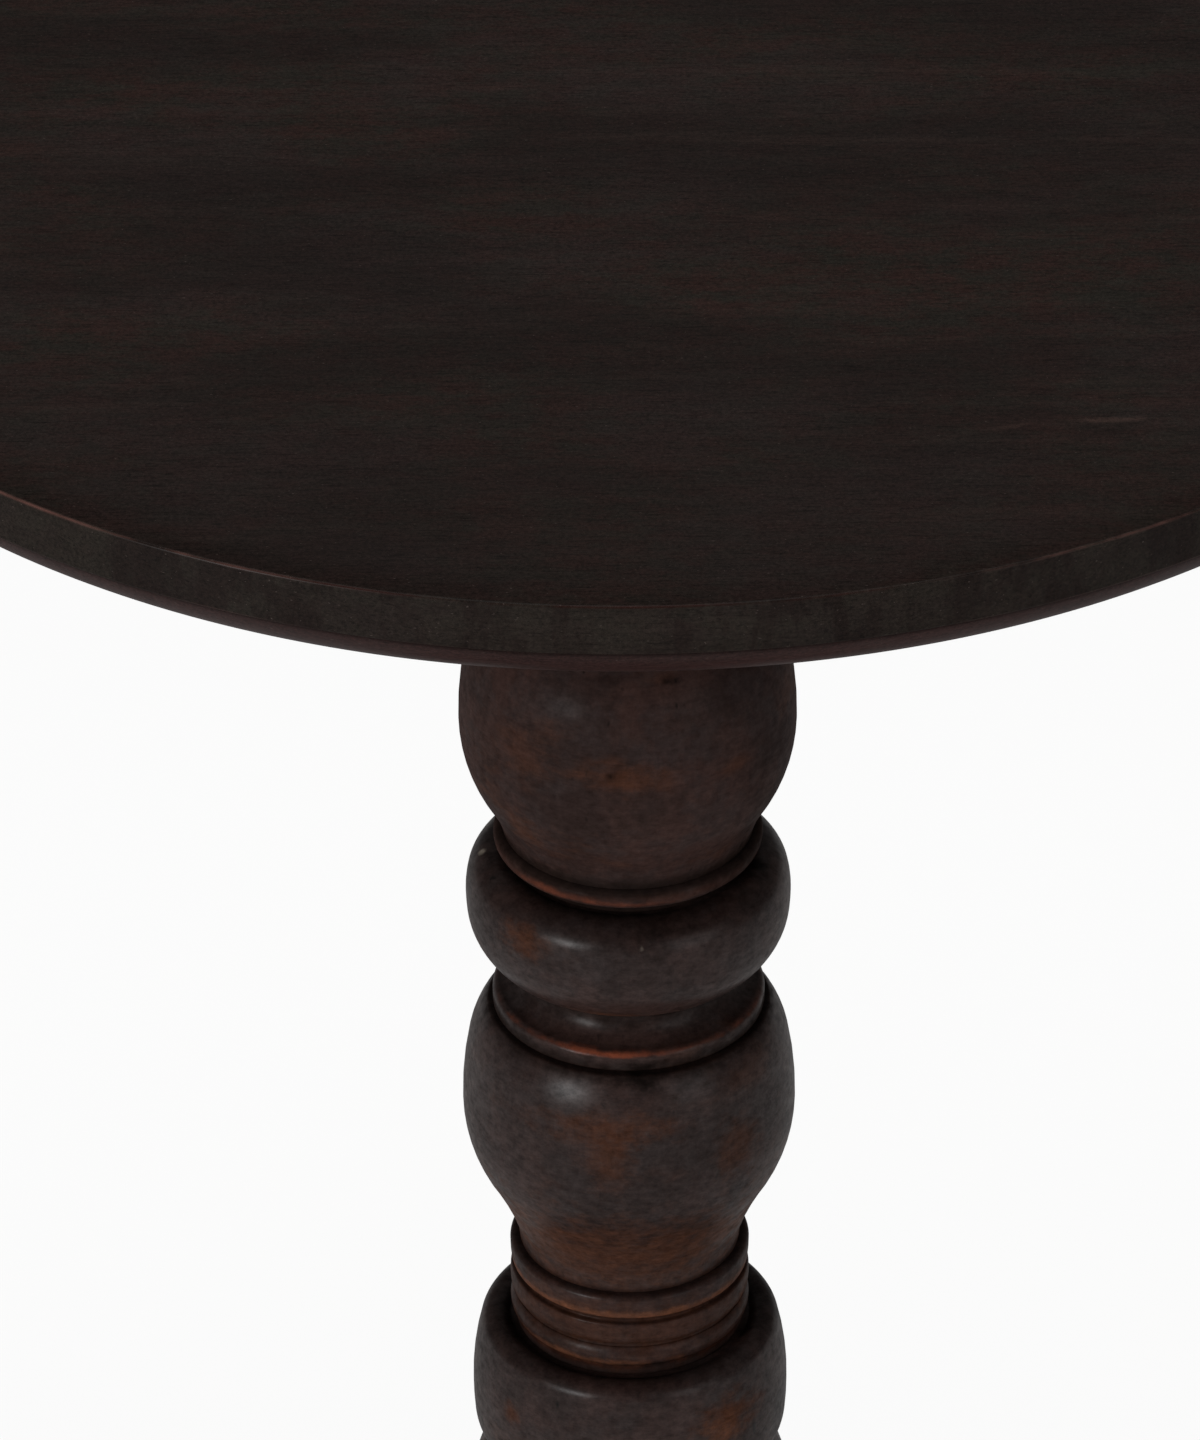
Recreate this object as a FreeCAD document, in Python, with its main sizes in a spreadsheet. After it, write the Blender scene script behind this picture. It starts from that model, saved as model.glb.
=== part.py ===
import FreeCAD, Part
import math
import operator
import os
import types

import Sketcher

# Driving dimensions in millimetres, and one angle in degrees
SIZES = {
    # Round top, and the moulding that its rim shares with the plinth's
    "top_radius": 228.6,
    "top_thickness": 26.0,
    "top_band": 13.0,
    "top_dowel_spacing": 110.0,
    "rim_arris": 0.8,
    "rim_quirk_depth": 2.2,
    "rim_quirk_height": 1.2,
    "rim_inset": 14.0,
    "rim_swell": 1.4,
    # Dowels in the edge joints of the top and the plinth
    "dowel_radius": 4.0,
    "dowel_length": 40.0,
    "glue_gap": 0.15,
    # Mounting block under the top
    "block_radius": 85.0,
    "block_web": 3.4,
    "block_round": 4.0,
    "block_round_swell": 1.1,
    "block_screw_inset": 17.0,
    "block_screw_bite": 12.0,
    # Countersunk wood screws
    "screw_head_radius": 5.0,
    "screw_head_height": 2.8,
    "screw_shank_radius": 2.4,
    "screw_tip": 4.0,
    "screw_slot_width": 1.2,
    "screw_slot_depth": 1.6,
    "screw_clearance": 0.2,
    # Tie rod with its nuts and washers
    "rod_radius": 5.0,
    "rod_chamfer": 1.0,
    "rod_proud": 1.5,
    "bore_clearance": 0.5,
    "nut_width": 17.0,
    "nut_height": 8.4,
    "washer_radius": 13.0,
    "washer_thickness": 2.0,
    "recess_gap": 1.5,
    # Spigots and sockets between the turned pieces
    "spigot_radius": 14.0,
    "spigot_length": 9.0,
    "broad_spigot_radius": 24.0,
    "broad_spigot_length": 5.0,
    "socket_gap": 0.2,
    "socket_relief": 1.0,
    # Capital
    "capital_stem_drop": 4.2,
    "capital_stem_height": 8.0,
    "capital_flare_height": 24.4,
    "capital_flare_swell": 6.5,
    "capital_flange_radius": 58.0,
    "capital_flange_height": 7.8,
    "capital_flange_swell": 1.0,
    "capital_flange_step": 2.5,
    # Bulb, measured from its widest circle
    "bulb_radius": 42.1,
    "bulb_crown_height": 29.4,
    "bulb_crown_drop": 6.6,
    "bulb_crown_swell": 0.7,
    "bulb_shoulder_height": 18.9,
    "bulb_shoulder_drop": 1.72,
    "bulb_shoulder_swell": 0.51,
    "bulb_belly_depth": 21.4,
    "bulb_belly_drop": 6.37,
    "bulb_belly_swell": 1.54,
    "bulb_taper_depth": 42.4,
    "bulb_taper_drop": 16.2,
    "bulb_taper_swell": 0.74,
    "bulb_short_depth": 33.0,
    "bulb_short_drop": 11.0,
    "bulb_short_swell": 0.59,
    "upper_crown_height": 35.0,
    "upper_crown_drop": 12.3,
    "upper_crown_swell": 1.87,
    # Drum, measured from its widest circle
    "drum_radius": 40.8,
    "drum_top_drop": 10.8,
    "drum_foot_drop": 7.15,
    "drum_rise": 11.35,
    "drum_rise_cheek": 5.65,
    "drum_rise_cheek_drop": 0.61,
    "drum_rise_cheek_swell": 0.18,
    "drum_fall": 16.75,
    "drum_fall_cheek": 4.57,
    "drum_fall_cheek_drop": 0.28,
    "drum_fall_cheek_swell": 0.05,
    "drum_shoulder_swell": 2.58,
    "drum_heel_swell": 1.44,
    # Neck and fillet under a drum, bead and recess under the upper bulb and the capital
    "neck_radius": 27.0,
    "upper_neck_radius": 23.5,
    "neck_height": 10.9,
    "neck_straight": 3.0,
    "neck_cove_swell": 2.0,
    "fillet_radius": 34.3,
    "upper_fillet_radius": 29.0,
    "fillet_height": 5.2,
    "fillet_round": 2.0,
    "fillet_arris": 0.8,
    "fillet_quirk_depth": 2.7,
    "fillet_quirk_height": 0.6,
    "bead_radius": 33.7,
    "bead_height": 4.3,
    "bead_swell": 1.9,
    "recess_depth": 4.7,
    "recess_height": 2.8,
    # Neck ring: collar, groove, flat band, quirk, bead and foot
    "ring_radius": 30.5,
    "ring_collar_height": 6.6,
    "ring_collar_round": 0.6,
    "ring_collar_taper": 0.35,
    "ring_collar_swell": 0.12,
    "ring_groove_depth": 1.8,
    "ring_groove_height": 1.8,
    "ring_band_height": 5.9,
    "ring_band_swell": 0.25,
    "ring_quirk_depth": 1.5,
    "ring_quirk_height": 1.7,
    "ring_bead_height": 5.8,
    "ring_bead_swell": 1.2,
    "ring_foot_depth": 1.4,
    "ring_foot_height": 3.0,
    # Barrel, the tall lower drum, measured from its widest circle
    "barrel_radius": 40.3,
    "barrel_rise": 20.9,
    "barrel_rise_cheek": 18.47,
    "barrel_rise_cheek_drop": 2.11,
    "barrel_rise_cheek_swell": 0.63,
    "barrel_top_drop": 9.6,
    "barrel_shoulder_swell": 2.22,
    "barrel_fall": 17.9,
    "barrel_fall_cheek": 8.0,
    "barrel_fall_cheek_drop": 0.4,
    "barrel_fall_cheek_swell": 0.1,
    "barrel_end_drop": 9.5,
    "barrel_heel_swell": 2.24,
    # Bell-shaped foot
    "foot_height": 74.0,
    "foot_collar_radius": 34.0,
    "foot_collar_height": 5.0,
    "foot_throat_depth": 2.5,
    "foot_throat_height": 1.5,
    "foot_waist_radius": 57.0,
    "foot_waist_height": 35.0,
    "foot_cove_swell": 7.0,
    "foot_shoulder_radius": 91.0,
    "foot_shoulder_swell": 6.0,
    "foot_step": 4.5,
    "foot_rim_height": 9.0,
    "foot_rim_swell": 0.9,
    "foot_screw_inset": 16.0,
    "foot_screw_bite": 16.0,
    # Round plinth
    "base_radius": 150.0,
    "base_thickness": 34.0,
    "base_band": 17.0,
    "base_chamfer": 3.0,
    "base_dowel_spacing": 200.0,
    # Levelling glides and their threaded inserts
    "glide_first_angle": 45.0,
    "glide_inset": 35.0,
    "glide_cover": 9.0,
    "glide_pad_radius": 14.0,
    "glide_pad_height": 6.0,
    "glide_pad_round": 1.5,
    "glide_root": 4.0,
    "glide_collar_width": 13.0,
    "glide_collar_height": 4.0,
    "glide_stem_radius": 4.0,
    "glide_clearance": 0.3,
    "insert_radius": 6.5,
    "insert_length": 16.0,
    "insert_flange_radius": 9.5,
    "insert_flange_height": 1.5,
}

# Counts of the pieces that repeat
TOP_BOARDS = 5
TOP_JOINT_DOWELS = 3
BASE_BOARDS = 3
BASE_JOINT_DOWELS = 2
BLOCK_SCREWS = 6
FOOT_SCREWS = 4
GLIDES = 4

# How far a quarter round swells from its chord, as a share of its radius
QUARTER_ROUND = 1 - math.sqrt(0.5)

ACTIONS = {"+": operator.add, "-": operator.sub, "*": operator.mul, "/": operator.truediv}


class Measure:
    """A number together with the formula that it comes from, to which a property can be bound."""

    def __init__(self, amount, formula=None):
        self.amount = float(amount)
        self.formula = formula or repr(self.amount)

    def __add__(self, other):
        return combined(self, "+", other)

    def __radd__(self, other):
        return combined(other, "+", self)

    def __sub__(self, other):
        return combined(self, "-", other)

    def __rsub__(self, other):
        return combined(other, "-", self)

    def __mul__(self, other):
        return combined(self, "*", other)

    def __rmul__(self, other):
        return combined(other, "*", self)

    def __truediv__(self, other):
        return combined(self, "/", other)

    def __neg__(self):
        return Measure(-self.amount, f"(-{self.formula})")


def measured(thing):
    return thing if isinstance(thing, Measure) else Measure(thing)


def combined(first, sign, second):
    first = measured(first)
    second = measured(second)
    return Measure(ACTIONS[sign](first.amount, second.amount), f"({first.formula} {sign} {second.formula})")


doc = FreeCAD.newDocument("PedestalTable")

sheet = doc.addObject("Spreadsheet::Sheet", "Sizes")
for row, (alias, amount) in enumerate(SIZES.items(), start=1):
    sheet.set(f"A{row}", alias)
    sheet.set(f"B{row}", str(amount))
    sheet.setAlias(f"B{row}", alias)
doc.recompute()

size = types.SimpleNamespace(
    **{alias: Measure(amount, f"Sizes.{alias}") for alias, amount in SIZES.items()}
)

subparts = []


def subpart(item, label):
    item.Label = label
    subparts.append(item)


def place(item, x=0, y=0, z=0):
    for axis, distance in (("x", x), ("y", y), ("z", z)):
        item.setExpression(f"Placement.Base.{axis}", measured(distance).formula)
    return item


def around(radius, step, count, first=0):
    """X and Y of one of count places that share a circle evenly."""
    angle = measured(first) + step * 360 / count
    turn = math.radians(angle.amount)
    return (
        radius * Measure(math.cos(turn), f"cos({angle.formula} * 1 deg)"),
        radius * Measure(math.sin(turn), f"sin({angle.formula} * 1 deg)"),
    )


def arc_through(start, end, swell):
    """An arc that swells from its chord, to the left on the way from start to end."""
    along = end - start
    left = FreeCAD.Vector(-along.y, along.x, 0).normalize()
    return Part.Arc(start, (start + end) * 0.5 + left * swell, end)


def arc_radius(start, end, swell):
    """The measure of the radius of such an arc, between two entries of an outline."""
    across = end[0] - start[0]
    along = end[1] - start[1]
    rise = swell if swell.amount > 0 else -swell
    return (across * across + along * along) / (8 * rise) + rise / 2


def turned(name, outline, x=0, y=0, z=0):
    """A body turned about its own Z axis, whose outline goes from the top of the bore outwards and down.
    An entry is a radius and a height and, where an arc leads to it, how far that arc swells outwards."""
    body = doc.addObject("PartDesign::Body", name)
    sketch = body.newObject("Sketcher::SketchObject", f"{name}_outline")
    plane = next(item for item in body.Origin.OriginFeatures if item.Role == "XZ_Plane")
    sketch.AttachmentSupport = (plane, "")
    sketch.MapMode = "FlatFace"

    def tie(kind, measure, *what):
        number = sketch.addConstraint(Sketcher.Constraint(kind, *what, measure.amount))
        sketch.setExpression(f"Constraints[{number}]", measure.formula)

    edges = []
    points = [FreeCAD.Vector(measured(entry[0]).amount, measured(entry[1]).amount, 0) for entry in outline]
    for index, entry in enumerate(outline):
        start = points[index - 1]
        end = points[index]
        if len(entry) == 3:
            edge = sketch.addGeometry(arc_through(start, end, entry[2].amount))
            tie("Radius", arc_radius(outline[index - 1], entry, entry[2]), edge)
        else:
            edge = sketch.addGeometry(Part.LineSegment(start, end))
        onward = sketch.getPoint(edge, 1).isEqual(start, 1e-6)
        edges.append((edge, 1, 2) if onward else (edge, 2, 1))

    for index, (radius, height, *_) in enumerate(outline):
        edge, _, edge_end = edges[index]
        after, after_start, _ = edges[(index + 1) % len(edges)]
        sketch.addConstraint(Sketcher.Constraint("Coincident", edge, edge_end, after, after_start))
        for kind, axis, distance in (("DistanceX", -2, radius), ("DistanceY", -1, height)):
            if isinstance(distance, Measure):
                tie(kind, distance, -1, 1, edge, edge_end)
            else:
                sketch.addConstraint(Sketcher.Constraint("PointOnObject", edge, edge_end, axis))

    turning = body.newObject("PartDesign::Revolution", f"{name}_turning")
    turning.Profile = sketch
    turning.ReferenceAxis = (sketch, ["V_Axis"])
    turning.Angle = 360
    return place(body, x, y, z)


def cylinder(name, radius, height, x=0, y=0, z=0):
    rod = doc.addObject("Part::Cylinder", name)
    rod.setExpression("Radius", radius.formula)
    rod.setExpression("Height", height.formula)
    return place(rod, x, y, z)


def box(name, length, width, height, x=0, y=0, z=0):
    """A block centred on x and y and standing on z."""
    block = doc.addObject("Part::Box", name)
    block.setExpression("Length", length.formula)
    block.setExpression("Width", width.formula)
    block.setExpression("Height", height.formula)
    return place(block, x - length / 2, y - width / 2, z)


def hexagon(name, width, height, x=0, y=0, z=0):
    """A six-sided prism of a width across its flats."""
    prism = doc.addObject("Part::Prism", name)
    prism.Polygon = 6
    prism.setExpression("Circumradius", (width / math.sqrt(3)).formula)
    prism.setExpression("Height", height.formula)
    return place(prism, x, y, z)


def fused(name, items):
    union = doc.addObject("Part::MultiFuse", name)
    union.Shapes = items
    return union


def cut(name, base, tool):
    rest = doc.addObject("Part::Cut", name)
    rest.Base = base
    rest.Tool = tool
    return rest


def group(name, items):
    together = doc.addObject("Part::Compound", name)
    together.Links = items
    return together


# What the tie rod passes through, and what its ends are let into
bore = size.rod_radius + size.bore_clearance
clamp_height = size.washer_thickness + size.nut_height + size.rod_proud
recess_radius = size.washer_radius + size.recess_gap
recess_depth = clamp_height + size.recess_gap
broad_socket_radius = size.broad_spigot_radius + size.socket_gap
broad_socket_depth = size.broad_spigot_length + size.socket_gap

# Heights of the pieces, and the level of each as they stand on each other
block_thickness = broad_socket_depth + size.block_web + recess_depth
ring_height = (
    size.ring_collar_height + size.ring_groove_height + size.ring_band_height
    + size.ring_quirk_height + size.ring_bead_height + size.ring_foot_height
)
bead_top = size.recess_height + size.bead_height
capital_height = (
    bead_top + size.capital_stem_height + size.capital_flare_height + size.capital_flange_height
)
crown_to_drum_top = (
    size.fillet_quirk_height + size.fillet_height + size.neck_height + size.drum_fall + size.drum_rise
)
upper_bulb_centre = bead_top + size.bulb_short_depth
upper_crown = upper_bulb_centre + size.upper_crown_height
upper_height = upper_crown + crown_to_drum_top
middle_crown = size.bulb_taper_depth + size.bulb_crown_height
middle_height = middle_crown + crown_to_drum_top
lower_crown = size.bulb_taper_depth + size.bulb_crown_height
lower_height = lower_crown + size.barrel_fall + size.barrel_rise

base_level = size.glide_pad_height + size.glide_collar_height
foot_level = base_level + size.base_thickness
lower_ring_level = foot_level + size.foot_height
lower_baluster_level = lower_ring_level + ring_height
upper_ring_level = lower_baluster_level + lower_height
middle_baluster_level = upper_ring_level + ring_height
upper_baluster_level = middle_baluster_level + middle_height
capital_level = upper_baluster_level + upper_height
block_level = capital_level + capital_height
top_level = block_level + block_thickness


def spigot(radius, length):
    """Lower end of a piece that rests on its shoulder and enters the piece below."""
    return [(radius, 0), (radius, -length), (bore, -length)]


def socket(top):
    """Upper end of a piece that takes the spigot of the piece above."""
    floor = top - size.spigot_length - size.socket_relief
    radius = size.spigot_radius + size.socket_gap
    return [(bore, floor), (radius, floor), (radius, top)]


def screw_outline(length, play):
    """A countersunk screw standing on its head, with play all round for its hole."""
    return [
        (0, length + play),
        (size.screw_shank_radius + play, length - size.screw_tip + play),
        (size.screw_shank_radius + play, size.screw_head_height + play),
        (size.screw_head_radius + play, 0),
        (0, 0),
    ]


def wood_screws(label, length, count, circle, level):
    """A ring of screws with crossed slots, driven upwards, and the holes that they leave."""
    screws = []
    holes = []
    for step in range(count):
        x, y = around(circle, step, count)
        name = f"{label}_{step + 1}"
        blank = turned(f"{name}_blank", screw_outline(length, 0), x, y, level)
        slot_sides = (size.screw_head_radius, size.screw_slot_width)
        bars = [
            box(f"{name}_bar_x", *slot_sides, size.screw_slot_depth, x, y, level),
            box(f"{name}_bar_y", *reversed(slot_sides), size.screw_slot_depth, x, y, level),
        ]
        screws.append(cut(name, blank, fused(f"{name}_cross", bars)))
        holes.append(turned(f"{name}_hole", screw_outline(length, size.screw_clearance), x, y, level))
    subpart(group(f"{label}_group", screws), label)
    return holes


def dowel(name, play, x, seam, middle):
    """A dowel across a seam, or the hole for it with play all round."""
    length = size.dowel_length + 2 * play
    pin = cylinder(name, size.dowel_radius + play, length, x, seam - length / 2, middle)
    pin.Placement.Rotation = FreeCAD.Rotation(FreeCAD.Vector(1, 0, 0), -90)
    return pin


def glued_boards(label, disc, radius, thickness, level, boards, joint_dowels, spacing, holes):
    """A disc that is made of boards side by side along Y, with dowels across the joints between them."""
    width = 2 * radius / boards
    pins = []
    cutters = list(holes)
    for joint in range(1, boards):
        seam = joint * width - radius
        for step in range(joint_dowels):
            x = (step - (joint_dowels - 1) / 2) * spacing
            name = f"{label}_dowel_{joint}_{step + 1}"
            pins.append(dowel(name, 0, x, seam, level + thickness / 2))
            cutters.append(dowel(f"{name}_hole", size.glue_gap, x, seam, level + thickness / 2))
    subpart(group(f"{label}_dowel_group", pins), f"{label}_dowels")

    drilling = fused(f"{label}_drilling", cutters)
    for board in range(boards):
        name = f"{label}_board_{board + 1}"
        slab = box(f"{name}_slab", 2 * radius, width, thickness, 0, (board + 0.5) * width - radius, level)
        sawn = doc.addObject("Part::Common", f"{name}_sawn")
        sawn.Base = disc
        sawn.Tool = slab
        subpart(cut(name, sawn, drilling), name)


# Mounting block: a turned disc, recessed above for the nut and below for the capital, screwed to the top
block_holes = wood_screws(
    "block_screws", block_thickness + size.block_screw_bite, BLOCK_SCREWS,
    size.block_radius - size.block_screw_inset, block_level,
)
block_blank = turned("block_blank", [
    (bore, block_thickness - recess_depth),
    (recess_radius, block_thickness - recess_depth),
    (recess_radius, block_thickness),
    (size.block_radius, block_thickness),
    (size.block_radius, size.block_round),
    (size.block_radius - size.block_round, 0, size.block_round_swell),
    (broad_socket_radius, 0),
    (broad_socket_radius, broad_socket_depth),
    (bore, broad_socket_depth),
], z=block_level)
subpart(cut("block", block_blank, fused("block_drilling", block_holes)), "mounting_block")

# Round top: boards glued edge to edge and turned as one disc, with a flat band and an undercut moulding
band_foot = size.top_thickness - size.top_band
top_disc = turned("top_disc", [
    (0, size.top_thickness),
    (size.top_radius - size.rim_arris, size.top_thickness),
    (size.top_radius, size.top_thickness - size.rim_arris),
    (size.top_radius, band_foot),
    (size.top_radius - size.rim_quirk_depth, band_foot),
    (size.top_radius - size.rim_quirk_depth, band_foot - size.rim_quirk_height),
    (size.top_radius - size.rim_inset, 0, size.rim_swell),
    (0, 0),
], z=top_level)
glued_boards(
    "top", top_disc, size.top_radius, size.top_thickness, top_level,
    TOP_BOARDS, TOP_JOINT_DOWELS, size.top_dowel_spacing, block_holes,
)

# Bead that overhangs a recess, at the lower end of the capital and of the upper baluster
bead_and_recess = [
    (size.bead_radius - size.bead_swell, bead_top),
    (size.bead_radius - size.bead_swell, size.recess_height, size.bead_swell),
    (size.bead_radius - size.recess_depth, size.recess_height),
    (size.bead_radius - size.recess_depth, 0),
]

# Capital: flared flange and stem under the mounting block, with a broad spigot up into it
stem_radius = size.bead_radius - size.capital_stem_drop
stem_top = bead_top + size.capital_stem_height
flange_foot = stem_top + size.capital_flare_height
capital = turned("capital_turned", [
    (bore, capital_height + size.broad_spigot_length),
    (size.broad_spigot_radius, capital_height + size.broad_spigot_length),
    (size.broad_spigot_radius, capital_height),
    (size.capital_flange_radius, capital_height),
    (size.capital_flange_radius, flange_foot, size.capital_flange_swell),
    (size.capital_flange_radius - size.capital_flange_step, flange_foot),
    (stem_radius, stem_top, -size.capital_flare_swell),
    (stem_radius, bead_top),
] + bead_and_recess + spigot(size.spigot_radius, size.spigot_length), z=capital_level)
subpart(capital, "capital")


def drum_neck_and_fillet(quirk, neck_radius, fillet_radius):
    """A drum, the coved neck under it and the fillet above a bulb, from the drum's top down to the quirk."""
    fillet_foot = quirk + size.fillet_quirk_height
    fillet_top = fillet_foot + size.fillet_height
    drum_foot = fillet_top + size.neck_height
    widest = drum_foot + size.drum_fall
    cheek_top = widest + size.drum_rise_cheek
    cheek_foot = widest - size.drum_fall_cheek
    return [
        (size.drum_radius - size.drum_top_drop, widest + size.drum_rise),
        (size.drum_radius - size.drum_rise_cheek_drop, cheek_top, size.drum_shoulder_swell),
        (size.drum_radius, widest, size.drum_rise_cheek_swell),
        (size.drum_radius - size.drum_fall_cheek_drop, cheek_foot, size.drum_fall_cheek_swell),
        (size.drum_radius - size.drum_foot_drop, drum_foot, size.drum_heel_swell),
        (neck_radius, drum_foot),
        (neck_radius, drum_foot - size.neck_straight),
        (fillet_radius - size.fillet_round, fillet_top, -size.neck_cove_swell),
        (fillet_radius, fillet_top - size.fillet_round, QUARTER_ROUND * size.fillet_round),
        (fillet_radius, fillet_foot + size.fillet_arris),
        (fillet_radius - size.fillet_arris, fillet_foot, QUARTER_ROUND * size.fillet_arris),
        (fillet_radius - size.fillet_quirk_depth, fillet_foot),
        (fillet_radius - size.fillet_quirk_depth, quirk),
    ]


def bulb_below_crown(centre, crown_swell):
    """A bulb from under its crown, over its widest circle, down to where its belly turns into the taper."""
    shoulder = centre + size.bulb_shoulder_height
    belly = centre - size.bulb_belly_depth
    return [
        (size.bulb_radius - size.bulb_shoulder_drop, shoulder, crown_swell),
        (size.bulb_radius, centre, size.bulb_shoulder_swell),
        (size.bulb_radius - size.bulb_belly_drop, belly, size.bulb_belly_swell),
    ]


# Upper baluster: drum, neck, fillet and a rounder bulb cut short by a bead
short_end = (size.bulb_radius - size.bulb_short_drop, bead_top, -size.bulb_short_swell)
upper_baluster = turned("upper_turned", (
    socket(upper_height)
    + drum_neck_and_fillet(upper_crown, size.upper_neck_radius, size.upper_fillet_radius)
    + [(size.bulb_radius - size.upper_crown_drop, upper_crown)]
    + bulb_below_crown(upper_bulb_centre, size.upper_crown_swell)
    + [short_end] + bead_and_recess + spigot(size.spigot_radius, size.spigot_length)
), z=upper_baluster_level)
subpart(upper_baluster, "upper_baluster")

# Middle baluster: a drum, neck and broader fillet on a bulb with a long taper
bulb_crown_radius = size.bulb_radius - size.bulb_crown_drop
taper_end = (size.bulb_radius - size.bulb_taper_drop, 0, -size.bulb_taper_swell)
middle_baluster = turned("middle_turned", (
    socket(middle_height) + drum_neck_and_fillet(middle_crown, size.neck_radius, size.fillet_radius)
    + [(bulb_crown_radius, middle_crown)] + bulb_below_crown(size.bulb_taper_depth, size.bulb_crown_swell)
    + [taper_end] + spigot(size.spigot_radius, size.spigot_length)
), z=middle_baluster_level)
subpart(middle_baluster, "middle_baluster")

# Lower baluster: a tall barrel straight on the crown of a bulb with a long taper
barrel_widest = lower_crown + size.barrel_fall
barrel_cheek_top = barrel_widest + size.barrel_rise_cheek
barrel_cheek_foot = barrel_widest - size.barrel_fall_cheek
barrel = [
    (size.barrel_radius - size.barrel_top_drop, lower_height),
    (size.barrel_radius - size.barrel_rise_cheek_drop, barrel_cheek_top, size.barrel_shoulder_swell),
    (size.barrel_radius, barrel_widest, size.barrel_rise_cheek_swell),
    (size.barrel_radius - size.barrel_fall_cheek_drop, barrel_cheek_foot, size.barrel_fall_cheek_swell),
    (size.barrel_radius - size.barrel_end_drop, lower_crown, size.barrel_heel_swell),
]
lower_baluster = turned("lower_turned", (
    socket(lower_height) + barrel
    + [(bulb_crown_radius, lower_crown)] + bulb_below_crown(size.bulb_taper_depth, size.bulb_crown_swell)
    + [taper_end] + spigot(size.spigot_radius, size.spigot_length)
), z=lower_baluster_level)
subpart(lower_baluster, "lower_baluster")

# Neck rings: a collar, a flat band and a bead, above the lower baluster and again under it
ring_bead_top = size.ring_foot_height + size.ring_bead_height
ring_band_foot = ring_bead_top + size.ring_quirk_height
ring_band_top = ring_band_foot + size.ring_band_height
ring_collar_foot = ring_band_top + size.ring_groove_height
ring_outline = [
    (size.ring_radius - size.ring_collar_round, ring_height),
    (size.ring_radius, ring_height - size.ring_collar_round, QUARTER_ROUND * size.ring_collar_round),
    (size.ring_radius - size.ring_collar_taper, ring_collar_foot, size.ring_collar_swell),
    (size.ring_radius - size.ring_groove_depth, ring_collar_foot),
    (size.ring_radius - size.ring_groove_depth, ring_band_top),
    (size.ring_radius - size.ring_band_swell, ring_band_top),
    (size.ring_radius - size.ring_band_swell, ring_band_foot, size.ring_band_swell),
    (size.ring_radius - size.ring_quirk_depth, ring_band_foot),
    (size.ring_radius - size.ring_quirk_depth, ring_bead_top),
    (size.ring_radius - size.ring_bead_swell, ring_bead_top),
    (size.ring_radius - size.ring_bead_swell, size.ring_foot_height, size.ring_bead_swell),
    (size.ring_radius - size.ring_foot_depth, size.ring_foot_height),
    (size.ring_radius - size.ring_foot_depth, 0),
]
for end, ring_level in (("upper", upper_ring_level), ("lower", lower_ring_level)):
    ring = turned(
        f"{end}_ring", socket(ring_height) + ring_outline + spigot(size.spigot_radius, size.spigot_length),
        z=ring_level,
    )
    subpart(ring, f"{end}_neck_ring")

# Bell-shaped foot, screwed to the plinth from below
foot_holes = wood_screws(
    "foot_screws", size.base_thickness + size.foot_screw_bite, FOOT_SCREWS,
    size.foot_shoulder_radius - size.foot_screw_inset, base_level,
)
collar_foot = size.foot_height - size.foot_collar_height
throat_radius = size.foot_collar_radius - size.foot_throat_depth
foot_blank = turned("foot_blank", socket(size.foot_height) + [
    (size.foot_collar_radius - size.fillet_arris, size.foot_height),
    (size.foot_collar_radius, size.foot_height - size.fillet_arris, QUARTER_ROUND * size.fillet_arris),
    (size.foot_collar_radius, collar_foot),
    (throat_radius, collar_foot),
    (throat_radius, collar_foot - size.foot_throat_height),
    (size.foot_waist_radius, size.foot_waist_height, -size.foot_cove_swell),
    (size.foot_shoulder_radius, size.foot_rim_height, size.foot_shoulder_swell),
    (size.foot_shoulder_radius + size.foot_step, size.foot_rim_height),
    (size.foot_shoulder_radius + size.foot_step, 0, size.foot_rim_swell),
] + spigot(size.broad_spigot_radius, size.broad_spigot_length), z=foot_level)
subpart(cut("foot", foot_blank, fused("foot_drilling", foot_holes)), "bell_foot")

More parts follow.
